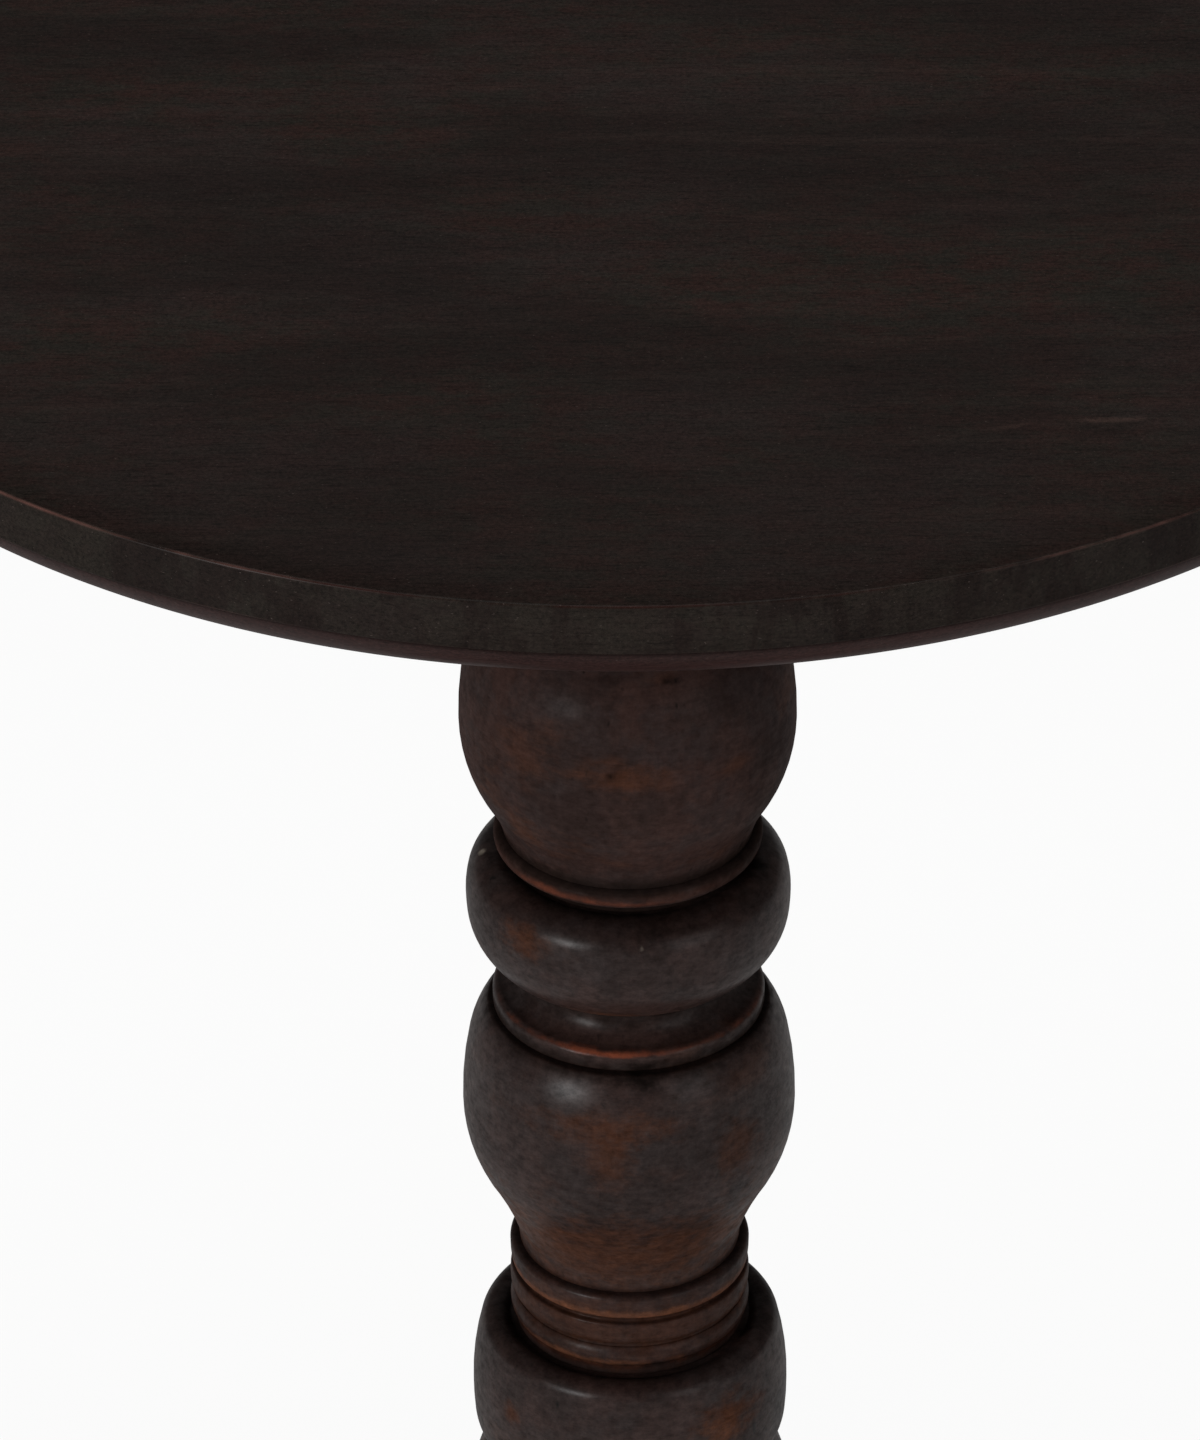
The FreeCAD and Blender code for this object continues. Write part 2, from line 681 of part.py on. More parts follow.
# Threaded inserts in the plinth, and the glides that screw into them: a stem with a collar, and a pad
glide_bore = size.glide_stem_radius + size.glide_clearance
hole_depth = size.base_thickness - size.glide_cover
stem_length = hole_depth - size.socket_relief
pad_socket_radius = size.glide_stem_radius + size.glue_gap
pad_socket_floor = size.glide_pad_height - size.glide_root - size.glue_gap
pad_rounding = QUARTER_ROUND * size.glide_pad_round
inserts = []
insert_holes = []
for step in range(GLIDES):
    x, y = around(size.base_radius - size.glide_inset, step, GLIDES, size.glide_first_angle)
    number = step + 1
    inserts.append(turned(f"insert_{number}", [
        (glide_bore, size.insert_length),
        (size.insert_radius, size.insert_length),
        (size.insert_radius, size.insert_flange_height),
        (size.insert_flange_radius, size.insert_flange_height),
        (size.insert_flange_radius, 0),
        (glide_bore, 0),
    ], x, y, base_level))
    insert_holes.append(turned(f"insert_hole_{number}", [
        (0, hole_depth),
        (glide_bore, hole_depth),
        (glide_bore, size.insert_length),
        (size.insert_radius + size.glue_gap, size.insert_length),
        (size.insert_radius + size.glue_gap, size.insert_flange_height),
        (size.insert_flange_radius + size.glue_gap, size.insert_flange_height),
        (size.insert_flange_radius + size.glue_gap, 0),
        (0, 0),
    ], x, y, base_level))

    stem = cylinder(
        f"stem_{number}", size.glide_stem_radius, size.glide_root + size.glide_collar_height + stem_length,
        x, y, size.glide_pad_height - size.glide_root,
    )
    collar = hexagon(
        f"collar_{number}", size.glide_collar_width, size.glide_collar_height, x, y, size.glide_pad_height
    )
    subpart(fused(f"stem_and_collar_{number}", [stem, collar]), f"glide_stem_{number}")
    pad = turned(f"pad_{number}", [
        (pad_socket_radius, size.glide_pad_height),
        (size.glide_pad_radius - size.glide_pad_round, size.glide_pad_height),
        (size.glide_pad_radius, size.glide_pad_height - size.glide_pad_round, pad_rounding),
        (size.glide_pad_radius, size.glide_pad_round),
        (size.glide_pad_radius - size.glide_pad_round, 0, pad_rounding),
        (0, 0),
        (0, pad_socket_floor),
        (pad_socket_radius, pad_socket_floor),
    ], x, y)
    subpart(pad, f"glide_pad_{number}")
subpart(group("insert_group", inserts), "glide_inserts")

# Round plinth: boards glued edge to edge and turned as one disc, recessed for the foot, nut and glides
base_disc = turned("base_disc", [
    (bore, size.base_thickness - broad_socket_depth),
    (broad_socket_radius, size.base_thickness - broad_socket_depth),
    (broad_socket_radius, size.base_thickness),
    (size.base_radius - size.rim_inset, size.base_thickness),
    (size.base_radius - size.rim_quirk_depth, size.base_band + size.rim_quirk_height, size.rim_swell),
    (size.base_radius - size.rim_quirk_depth, size.base_band),
    (size.base_radius - size.rim_arris, size.base_band),
    (size.base_radius, size.base_band - size.rim_arris),
    (size.base_radius, size.base_chamfer),
    (size.base_radius - size.base_chamfer, 0),
    (recess_radius, 0),
    (recess_radius, recess_depth),
    (bore, recess_depth),
], z=base_level)
glued_boards(
    "base", base_disc, size.base_radius, size.base_thickness, base_level,
    BASE_BOARDS, BASE_JOINT_DOWELS, size.base_dowel_spacing, foot_holes + insert_holes,
)

# Tie rod from the recess under the plinth to the recess in the block
lower_seat = base_level + recess_depth
upper_seat = top_level - recess_depth
rod_length = upper_seat - lower_seat + 2 * clamp_height
tie_rod = turned("rod", [
    (0, rod_length),
    (size.rod_radius - size.rod_chamfer, rod_length),
    (size.rod_radius, rod_length - size.rod_chamfer),
    (size.rod_radius, size.rod_chamfer),
    (size.rod_radius - size.rod_chamfer, 0),
    (0, 0),
], z=lower_seat - clamp_height)
subpart(tie_rod, "tie_rod")

# A washer and a nut on each end of the rod
lower_washer_level = lower_seat - size.washer_thickness
for end, washer_level, nut_level in (
    ("upper", upper_seat, upper_seat + size.washer_thickness),
    ("lower", lower_washer_level, lower_washer_level - size.nut_height),
):
    plate = cylinder(f"{end}_plate", size.washer_radius, size.washer_thickness, z=washer_level)
    plate_hole = cylinder(f"{end}_plate_hole", bore, size.washer_thickness, z=washer_level)
    subpart(cut(f"{end}_plate_ring", plate, plate_hole), f"{end}_washer")
    blank = hexagon(f"{end}_nut_blank", size.nut_width, size.nut_height, z=nut_level)
    thread = cylinder(f"{end}_nut_hole", size.rod_radius + size.glue_gap, size.nut_height, z=nut_level)
    subpart(cut(f"{end}_nut_ring", blank, thread), f"{end}_nut")

doc.recompute()

# Nothing is written unless every piece came out whole
for item in doc.Objects:
    if {"Invalid", "Error"} & set(item.State):
        raise RuntimeError(f"{item.Label} failed: {item.State}")
for item in subparts:
    if item.Shape.isNull() or not item.Shape.isValid() or not item.Shape.Solids:
        raise RuntimeError(f"{item.Label} has no valid solid")

os.makedirs("parts", exist_ok=True)
for item in subparts:
    item.Shape.exportStep(f"parts/{item.Label}.step")
    print(f"{item.Label}: {len(item.Shape.Solids)} solids, {item.Shape.Volume / 1000:.1f} cm3")
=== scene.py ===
import math
from collections import namedtuple

import bmesh
import bpy
from mathutils import Matrix, Vector, noise


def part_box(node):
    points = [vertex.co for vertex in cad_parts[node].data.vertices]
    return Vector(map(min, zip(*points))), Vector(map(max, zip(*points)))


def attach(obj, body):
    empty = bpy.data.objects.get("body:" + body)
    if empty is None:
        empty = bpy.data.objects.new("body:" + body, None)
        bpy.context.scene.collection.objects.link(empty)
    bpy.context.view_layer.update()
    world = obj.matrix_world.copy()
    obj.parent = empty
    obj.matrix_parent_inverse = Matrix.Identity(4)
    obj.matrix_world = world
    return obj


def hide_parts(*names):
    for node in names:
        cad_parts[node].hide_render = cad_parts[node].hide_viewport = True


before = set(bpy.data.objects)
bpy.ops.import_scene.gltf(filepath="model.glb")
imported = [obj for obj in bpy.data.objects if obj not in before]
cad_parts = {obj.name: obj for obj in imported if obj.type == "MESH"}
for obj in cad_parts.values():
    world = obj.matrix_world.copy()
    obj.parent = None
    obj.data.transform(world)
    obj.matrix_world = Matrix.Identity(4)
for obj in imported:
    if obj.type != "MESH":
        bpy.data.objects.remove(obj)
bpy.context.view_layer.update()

# Plinth
# Three dark stained boards, glued edge to edge with dowels across the joints and turned as one disc.
# The rim is the table top's turned over. The foot, the nut and the glides are let into it.

mm = 0.001
bore_radius = 5.5 * mm
broad_socket_radius = 24.2 * mm
broad_socket_depth = 5.2 * mm
recess_radius = 14.5 * mm
recess_depth = 13.4 * mm
base_radius = 150 * mm
base_thickness = 34 * mm
base_band = 17 * mm
base_chamfer = 3 * mm
rim_inset = 14 * mm
rim_swell = 1.4 * mm
rim_quirk_depth = 2.2 * mm
rim_quirk_height = 1.2 * mm

# A place on the outline of a turned piece: swell is how far the arc to it bows outwards, rub how far the edge
# is rubbed through, and the last two how far and how thickly a dark colour spreads from it: dark glaze and
# painted shade.
Turn = namedtuple("Turn", "radius height swell rub soot dark", defaults=(0.0, 0.0, 0.0, 1.0))


def arc_between(start, end, swell):
    """Points between two places along an arc, at most five degrees apart."""
    chord = end - start
    along = chord.normalized()
    left = Vector((-along.y, along.x))
    half = 2 * math.atan(2 * swell / chord.length)
    radius = chord.length / 2 / math.sin(half)
    centre = (start + end) / 2 + left * (swell - radius)
    count = max(2, math.ceil(abs(math.degrees(2 * half)) / 5))
    turns = [half * (2 * step / count - 1) for step in range(1, count)]
    return [centre + radius * (math.cos(turn) * left + math.sin(turn) * along) for turn in turns]


def with_arcs(turns):
    """The places of an outline, each with its turn, and the points of its arcs between them without one."""
    path = []
    for index, turn in enumerate(turns):
        place = Vector((turn.radius, turn.height))
        if turn.swell:
            before = Vector((turns[index - 1].radius, turns[index - 1].height))
            path += [(point, None) for point in arc_between(before, place, turn.swell)]
        path.append((place, turn))
    return path


def softened(path, closed, softness):
    """The points with sharp corners rounded, and each corner's place, rub, and the strength and spread of its
    dark glaze and painted shade.
    """
    plain_spread = 1.6 * mm
    blackest_bend = 1.5
    flat_enough = math.radians(14)
    rounded = []
    corners = []
    for index, (place, turn) in enumerate(path):
        loose_end = not closed and index in (0, len(path) - 1)
        if turn is None or loose_end:
            rounded.append((place, False))
            continue
        inward = place - path[index - 1][0]
        onward = path[(index + 1) % len(path)][0] - place
        bend = math.atan2(inward.x * onward.y - inward.y * onward.x, inward.dot(onward))
        # An inward corner given no spread of its own gets painted shade, darker the sharper it bends.
        crease_shade = max(0.0, min(1.0, bend / blackest_bend))
        corners.append((place, turn.rub, turn.dark if turn.soot else crease_shade, turn.soot or plain_spread))
        if abs(bend) < flat_enough:
            rounded.append((place, False))
            continue
        start = place - inward.normalized() * min(softness, 0.4 * inward.length)
        end = place + onward.normalized() * min(softness, 0.4 * onward.length)
        for part in (0.0, 0.25, 0.5, 0.75, 1.0):
            point = start.lerp(place, part).lerp(place.lerp(end, part), part)
            rounded.append((point, True))
    return rounded, corners


def closely_spaced(rounded, closed, step):
    """The points at most a step apart, and closer together beside the rounded corners."""
    least = 0.2 * mm
    points = []
    for index, (place, bent) in enumerate(rounded):
        points.append(place)
        if index == len(rounded) - 1 and not closed:
            break
        after, after_bent = rounded[(index + 1) % len(rounded)]
        length = (after - place).length
        count = math.ceil(length / step)
        distances = {round(length * part / count, 6) for part in range(count)}
        for near in (0.3 * mm, 0.8 * mm, 1.6 * mm, 3 * mm):
            if bent:
                distances.add(round(near, 6))
            if after_bent:
                distances.add(round(length - near, 6))
        last = 0.0
        for distance in sorted(distances):
            if distance - last > least and length - distance > least:
                points.append(place.lerp(after, distance / length))
                last = distance
    return points


def drawn_outline(turns, softness, step, wear):
    """The points of an outline, each with how rubbed it is and how much dark glaze and painted shade lie
    there.
    """
    closed = turns[0].radius > 0
    rounded, corners = softened(with_arcs(turns), closed, softness)
    rows = []
    for point in closely_spaced(rounded, closed, step):
        rub = 0.0
        glaze_and_shade = 0.0
        for place, corner_rub, corner_shade, spread in corners:
            distance = (point - place).length
            rub = max(rub, corner_rub * math.exp(-((distance / wear) ** 2)))
            glaze_and_shade = max(glaze_and_shade, corner_shade * math.exp(-((distance / spread) ** 2)))
        rows.append((point, rub, glaze_and_shade))
    return rows


def turned_mesh(name, turns, level, segments=160, softness=0.25 * mm, step=1.6 * mm, wear=1.2 * mm):
    """A turned piece with its lower shoulder at a level, bitten a little where its edges are rubbed."""
    deepest_bite = 0.22 * mm
    bites_in_a_metre = 95
    rows = drawn_outline(turns, softness, step, wear)
    places = []
    rubs = []
    glaze_and_shade_amounts = []
    rings = []
    for index, (point, rub, glaze_and_shade) in enumerate(rows):
        along = rows[(index + 1) % len(rows)][0] - rows[index - 1][0]
        inward = Vector((along.y, -along.x)).normalized()
        around = 1 if point.x < 1e-9 else segments
        rings.append(range(len(places), len(places) + around))
        for segment in range(around):
            angle = 2 * math.pi * segment / segments
            side = Vector((math.cos(angle), math.sin(angle), 0))
            place = side * point.x + Vector((0, 0, level + point.y))
            if rub > 0.02:
                bite = deepest_bite * rub * max(0.0, noise.noise(place * bites_in_a_metre) + 0.25)
                place += side * inward.x * bite + Vector((0, 0, inward.y * bite))
            places.append(place)
            rubs.append(rub)
            glaze_and_shade_amounts.append(glaze_and_shade)

    faces = []
    closed = turns[0].radius > 0
    for index in range(len(rings) if closed else len(rings) - 1):
        upper = rings[index]
        lower = rings[(index + 1) % len(rings)]
        for segment in range(segments):
            after = (segment + 1) % segments
            if len(upper) == 1:
                faces.append((upper[0], lower[segment], lower[after]))
            elif len(lower) == 1:
                faces.append((upper[after], upper[segment], lower[0]))
            else:
                faces.append((upper[after], upper[segment], lower[segment], lower[after]))

    mesh = bpy.data.meshes.new(name)
    mesh.from_pydata(places, [], faces)
    # The second attribute carries dark glaze and painted shade to the finishes.
    for label, amounts in (("rub", rubs), ("glaze_and_shade", glaze_and_shade_amounts)):
        mesh.attributes.new(label, "FLOAT", "POINT").data.foreach_set("value", amounts)
    mesh.polygons.foreach_set("use_smooth", [True] * len(mesh.polygons))
    return mesh


def shown(mesh, material, slot, *nodes):
    """Puts a mesh in place of the CAD nodes it stands for, on the table's body."""
    piece = bpy.data.objects.new(mesh.name, mesh)
    bpy.context.scene.collection.objects.link(piece)
    mesh.materials.clear()
    mesh.materials.append(material)
    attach(piece, "table")
    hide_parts(*nodes)


def sawn_board(disc, name, low, high):
    """The board of a disc that lies between two seams, with the sawn faces closed."""
    board = bmesh.new()
    board.from_mesh(disc)
    for seam, keep in ((low, 1), (high, -1)):
        everything = board.verts[:] + board.edges[:] + board.faces[:]
        bmesh.ops.bisect_plane(
            board, geom=everything, dist=1e-7, clear_outer=True,
            plane_co=(0, seam, 0), plane_no=(0, -keep, 0),
        )
    rim = [edge for edge in board.edges if edge.is_boundary]
    if rim:
        filled = bmesh.ops.holes_fill(board, edges=rim, sides=0)
        for face in filled["faces"]:
            face.smooth = False
            for edge in face.edges:
                edge.smooth = False
    bmesh.ops.recalc_face_normals(board, faces=board.faces[:])
    mesh = bpy.data.meshes.new(name)
    board.to_mesh(mesh)
    board.free()
    return mesh


def holes_around(name, turns, level, circle, angles, segments=32):
    """Cutters for like holes on a circle round the axis, one at each angle in degrees."""
    cutters = []
    for number, angle in enumerate(angles, 1):
        cutter = turned_mesh(f"{name}_{number}", turns, level, segments, softness=0.05 * mm, step=50 * mm)
        turn = math.radians(angle)
        cutter.transform(Matrix.Translation((circle * math.cos(turn), circle * math.sin(turn), 0)))
        cutters.append(cutter)
    return cutters


def drilled(mesh, cutters):
    """A mesh with holes taken out of it by Blender's own boolean."""
    blank = bpy.data.objects.new(mesh.name, mesh)
    bpy.context.scene.collection.objects.link(blank)
    tools = []
    for cutter in cutters:
        tool = bpy.data.objects.new(cutter.name, cutter)
        bpy.context.scene.collection.objects.link(tool)
        tools.append(tool)
        hole = blank.modifiers.new(cutter.name, "BOOLEAN")
        hole.operation = "DIFFERENCE"
        hole.solver = "EXACT"
        hole.object = tool
    depsgraph = bpy.context.evaluated_depsgraph_get()
    done = bpy.data.meshes.new_from_object(blank.evaluated_get(depsgraph))
    for helper in [blank] + tools:
        bpy.data.objects.remove(helper)
    done.name = mesh.name
    return done


def srgb(red, green, blue):
    """A colour as a picture shows it, from 0 to 255, as Blender's own linear colour."""
    levels = [part / 255 for part in (red, green, blue)]
    return [part / 12.92 if part <= 0.04045 else ((part + 0.055) / 1.055) ** 2.4 for part in levels] + [1.0]


class Wire:
    """A socket of a finish, on which arithmetic adds Math nodes."""

    def __init__(self, finish, socket):
        self.finish = finish
        self.socket = socket

    def maths(self, operation, first, second):
        return self.finish.node("ShaderNodeMath", {"operation": operation}, {0: first, 1: second})

    def __add__(self, other):
        return self.maths("ADD", self, other)

    def __radd__(self, other):
        return self.maths("ADD", other, self)

    def __sub__(self, other):
        return self.maths("SUBTRACT", self, other)

    def __rsub__(self, other):
        return self.maths("SUBTRACT", other, self)

    def __mul__(self, other):
        return self.maths("MULTIPLY", self, other)

    def __rmul__(self, other):
        return self.maths("MULTIPLY", other, self)


class Finish:
    """A material to which nodes are added one at a time."""

    def __init__(self, name):
        self.material = bpy.data.materials.new(name)
        self.material.use_nodes = True
        self.tree = self.material.node_tree
        self.shader = self.tree.nodes["Principled BSDF"]

    def node(self, kind, settings, values, output=0):
        """A node with its settings, then its sockets' values or links. Gives the wire of one output."""
        made = self.tree.nodes.new(kind)
        for key, value in settings.items():
            setattr(made, key, value)
        for key, value in values.items():
            self.feed(made.inputs[key], value)
        return Wire(self, made.outputs[output])

    def feed(self, socket, value):
        if isinstance(value, Wire):
            self.tree.links.new(value.socket, socket)
        else:
            socket.default_value = value

    def mix(self, share, first, second):
        """The first colour with a share of the second in it."""
        return self.node("ShaderNodeMix", {"data_type": "RGBA"}, {0: share, 6: first, 7: second}, 2)

    def tint(self, colour, factor):
        """A colour made paler or darker by a factor."""
        return self.node("ShaderNodeVectorMath", {"operation": "SCALE"}, {0: colour, "Scale": factor})

    def here(self):
        """Where a point is on the table, in metres."""
        return self.node("ShaderNodeTexCoord", {}, {}, "Object")

    def place(self, scale, offset):
        """Where a point is in the wood, in steps of the grain's size along each axis."""
        moved = self.node("ShaderNodeVectorMath", {"operation": "ADD"}, {0: self.here(), 1: offset})
        return self.node("ShaderNodeVectorMath", {"operation": "MULTIPLY"}, {0: moved, 1: scale})

    def noise(self, scale, offset, detail=3.0, roughness=0.55):
        return self.node("ShaderNodeTexNoise", {}, {
            "Vector": self.place(scale, offset), "Scale": 1.0, "Detail": detail, "Roughness": roughness,
        })

    def ramp(self, value, low, high):
        """A soft step from 0 at low to 1 at high."""
        return self.node("ShaderNodeMapRange", {"interpolation_type": "SMOOTHSTEP"}, {
            "Value": value, "From Min": low, "From Max": high,
        })

    def carried(self, label):
        """One attribute that a turned mesh carries: the rub, or the dark glaze and painted shade."""
        return self.node("ShaderNodeAttribute", {"attribute_name": label}, {}, "Fac")

    def lay_on(self, colour, roughness, relief, strength, depth):
        """Feeds the shader what every finish has: a colour, a roughness and a relief."""
        self.feed(self.shader.inputs["Base Color"], colour)
        self.feed(self.shader.inputs["Roughness"], roughness)
        bump = self.node("ShaderNodeBump", {}, {"Strength": strength, "Distance": depth, "Height": relief})
        self.feed(self.shader.inputs["Normal"], bump)


def satin(finish, weight):
    """A thin satin lacquer over the stain, uneven and dulled by use."""
    finish.feed(finish.shader.inputs["Specular IOR Level"], 0.0)
    finish.feed(finish.shader.inputs["Coat Weight"], weight)
    finish.feed(finish.shader.inputs["Coat Roughness"], 0.35)


rubbed_red = srgb(90, 46, 30)


def board_wood(name, seed, rim_radius, figured=None, edge_colour=None):
    """Dark stained and rubbed satin wood whose grain runs along X. Its turned rim took a more olive stain."""
    finish = Finish(name)
    shift = (0.731 * seed, 0.377 * seed, 0.193 * seed)
    cloud = finish.noise((8, 22, 22), shift, 5.0, 0.6)
    cast = finish.noise((55, 110, 110), (shift[1], shift[0], 1.7), 6.0, 0.8)
    haze = finish.noise((13, 24, 24), (shift[2], shift[1], 0.9), 5.0, 0.65)
    streak = finish.noise((110, 1100, 1100), shift, 4.0, 0.7)
    figure = finish.noise((9, 120, 120), shift, 4.0, 0.65)
    grit = finish.noise((1100, 1300, 1300), shift, 3.0, 0.8)
    specks = finish.noise((900, 1800, 1800), (shift[2], shift[0], 0.4), 1.0, 0.5)
    pores = finish.ramp(finish.noise((150, 2400, 2400), shift, 2.0, 0.5), 0.58, 0.7)
    colour = finish.mix(finish.ramp(cast, 0.38, 0.62), srgb(31, 28, 24), srgb(38, 25, 22))
    colour = finish.mix(finish.ramp(haze, 0.44, 0.62) * 0.5, colour, srgb(36, 29, 28))
    colour = finish.mix(finish.ramp(cloud, 0.42, 0.64) * 0.7, colour, srgb(23, 16, 14))
    colour = finish.mix(finish.ramp(figure, 0.56, 0.74) * 0.3, colour, srgb(43, 33, 29))
    if figured:
        colour = figured(finish, colour)
    flat = finish.place((1, 1, 0), (0, 0, 0))
    from_middle = finish.node("ShaderNodeVectorMath", {"operation": "LENGTH"}, {0: flat}, "Value")
    rim = finish.ramp(from_middle, rim_radius - 1.2 * mm, rim_radius - 0.4 * mm)
    colour = finish.mix(rim * finish.ramp(cast, 0.36, 0.6) * 0.8, colour, srgb(29, 26, 22))
    blotch = finish.noise((95, 95, 30), shift, 4.0, 0.6)
    colour = finish.mix(rim * finish.ramp(blotch, 0.44, 0.58) * 0.75, colour, srgb(21, 14, 12))
    colour = finish.tint(colour, 1.0 + 0.6 * (streak - 0.5) + 0.7 * (figure - 0.5) + 2.4 * (grit - 0.5))
    colour = finish.tint(colour, 1.0 - 0.4 * pores)
    colour = finish.mix(finish.ramp(specks, 0.72, 0.79) * 0.35, colour, srgb(84, 74, 70))
    patchy = finish.noise((26, 26, 160), shift, 4.0, 0.65)
    rubbed = finish.carried("rub") * finish.ramp(patchy, 0.42, 0.66)
    colour = finish.mix(rubbed, colour, edge_colour(finish) if edge_colour else rubbed_red)
    # Dark glaze and painted shade in the quirks, hollows and creases, from the mesh, near black.
    glaze_and_shade = finish.carried("glaze_and_shade")
    colour = finish.mix(glaze_and_shade * 0.85, colour, srgb(11, 8, 7))
    relief = streak * 0.3 - pores * 0.6 + figure * 0.4 + grit * 0.4
    finish.lay_on(colour, 0.5 + 0.2 * cloud, relief, strength=0.5, depth=0.15 * mm)
    edge = finish.ramp(from_middle, rim_radius - rim_inset, rim_radius - 1 * mm)
    satin(finish, (0.1 + 0.25 * cloud + 0.15 * (streak - 0.5) - 0.15 * glaze_and_shade) * (1.0 - 0.55 * edge))
    return finish.material


base_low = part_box("base_board_1")[0].z
base_disc = turned_mesh("plinth", [
    Turn(bore_radius, base_thickness - broad_socket_depth),
    Turn(broad_socket_radius, base_thickness - broad_socket_depth),
    Turn(broad_socket_radius, base_thickness),
    Turn(base_radius - rim_inset, base_thickness, 0, 0.3),
    Turn(base_radius - rim_quirk_depth, base_band + rim_quirk_height, rim_swell, 0.5),
    # Painted shade, partly dark glaze, in the quirk over the band.
    Turn(base_radius - rim_quirk_depth, base_band, 0, 0, 2 * mm),
    Turn(base_radius, base_band, 0, 0.9),
    Turn(base_radius, base_chamfer, 0, 0.4),
    Turn(base_radius - base_chamfer, 0, 0, 0.5),
    Turn(recess_radius, 0),
    Turn(recess_radius, recess_depth),
    Turn(bore_radius, recess_depth),
], base_low, segments=240, softness=0.6 * mm, step=4 * mm, wear=0.8 * mm)

cut_past = 1 * mm
glide_circle = 115 * mm
glide_angles = (45, 135, 225, 315)
stem_hole_radius = 4.3 * mm
stem_hole_depth = 25 * mm
insert_radius = 6.65 * mm
insert_depth = 16 * mm
insert_flange_radius = 9.65 * mm
insert_flange_depth = 1.5 * mm
glide_holes = holes_around("glide_hole", [
    Turn(0, stem_hole_depth),
    Turn(stem_hole_radius, stem_hole_depth),
    Turn(stem_hole_radius, insert_depth),
    Turn(insert_radius, insert_depth),
    Turn(insert_radius, insert_flange_depth),
    Turn(insert_flange_radius, insert_flange_depth),
    Turn(insert_flange_radius, -cut_past),
    Turn(0, -cut_past),
], base_low, glide_circle, glide_angles, segments=40)

screw_circle = 75 * mm
screw_angles = (0, 90, 180, 270)
screw_hole_radius = 2.6 * mm
screw_head_radius = 5.2 * mm
screw_head_depth = 3 * mm


def screw_hole(length):
    """A hole of a countersunk screw, from its far end down past the face in which the head lies."""
    return [
        Turn(0, length),
        Turn(screw_hole_radius, length),
        Turn(screw_hole_radius, screw_head_depth),
        Turn(screw_head_radius, 0),
        Turn(screw_head_radius, -cut_past),
        Turn(0, -cut_past),
    ]


foot_screw_holes = holes_around("foot_screw_hole", screw_hole(40 * mm), base_low, screw_circle, screw_angles)
base_disc = drilled(base_disc, glide_holes + foot_screw_holes)
base_width = 2 * base_radius / 3
base_wood = board_wood("plinth_wood", 4, base_radius)
for number in (1, 2, 3):
    low = (number - 1) * base_width - base_radius
    board = sawn_board(base_disc, f"plinth_board_{number}", low, low + base_width)
    shown(board, base_wood, "base_wood", f"base_board_{number}")

# Foot
# A bell turned from a thick blank of the same wood, standing on the plinth with a broad spigot in it.
# Four screws from below hold it, and its upper end takes the spigot of the neck ring.

spigot_radius = 14 * mm
spigot_length = 9 * mm
socket_radius = 14.2 * mm
socket_depth = 10 * mm
broad_spigot_radius = 24 * mm
broad_spigot_length = 5 * mm
foot_height = 74 * mm
collar_radius = 34 * mm
collar_height = 5 * mm
throat_radius = 31.5 * mm
throat_height = 1.5 * mm
waist_radius = 57 * mm
waist_height = 35 * mm
foot_radius = 91 * mm
foot_lip_height = 9 * mm
foot_lip_reach = 4.5 * mm


def socket_end(top):
    """The upper end of a turned piece, bored for the spigot of the piece above."""
    return [
        Turn(bore_radius, top - socket_depth),
        Turn(socket_radius, top - socket_depth),
        Turn(socket_radius, top),
    ]


def spigot_end(radius, length):
    """The lower end of a turned piece, which enters the piece below."""
    return [Turn(radius, 0), Turn(radius, -length), Turn(bore_radius, -length)]


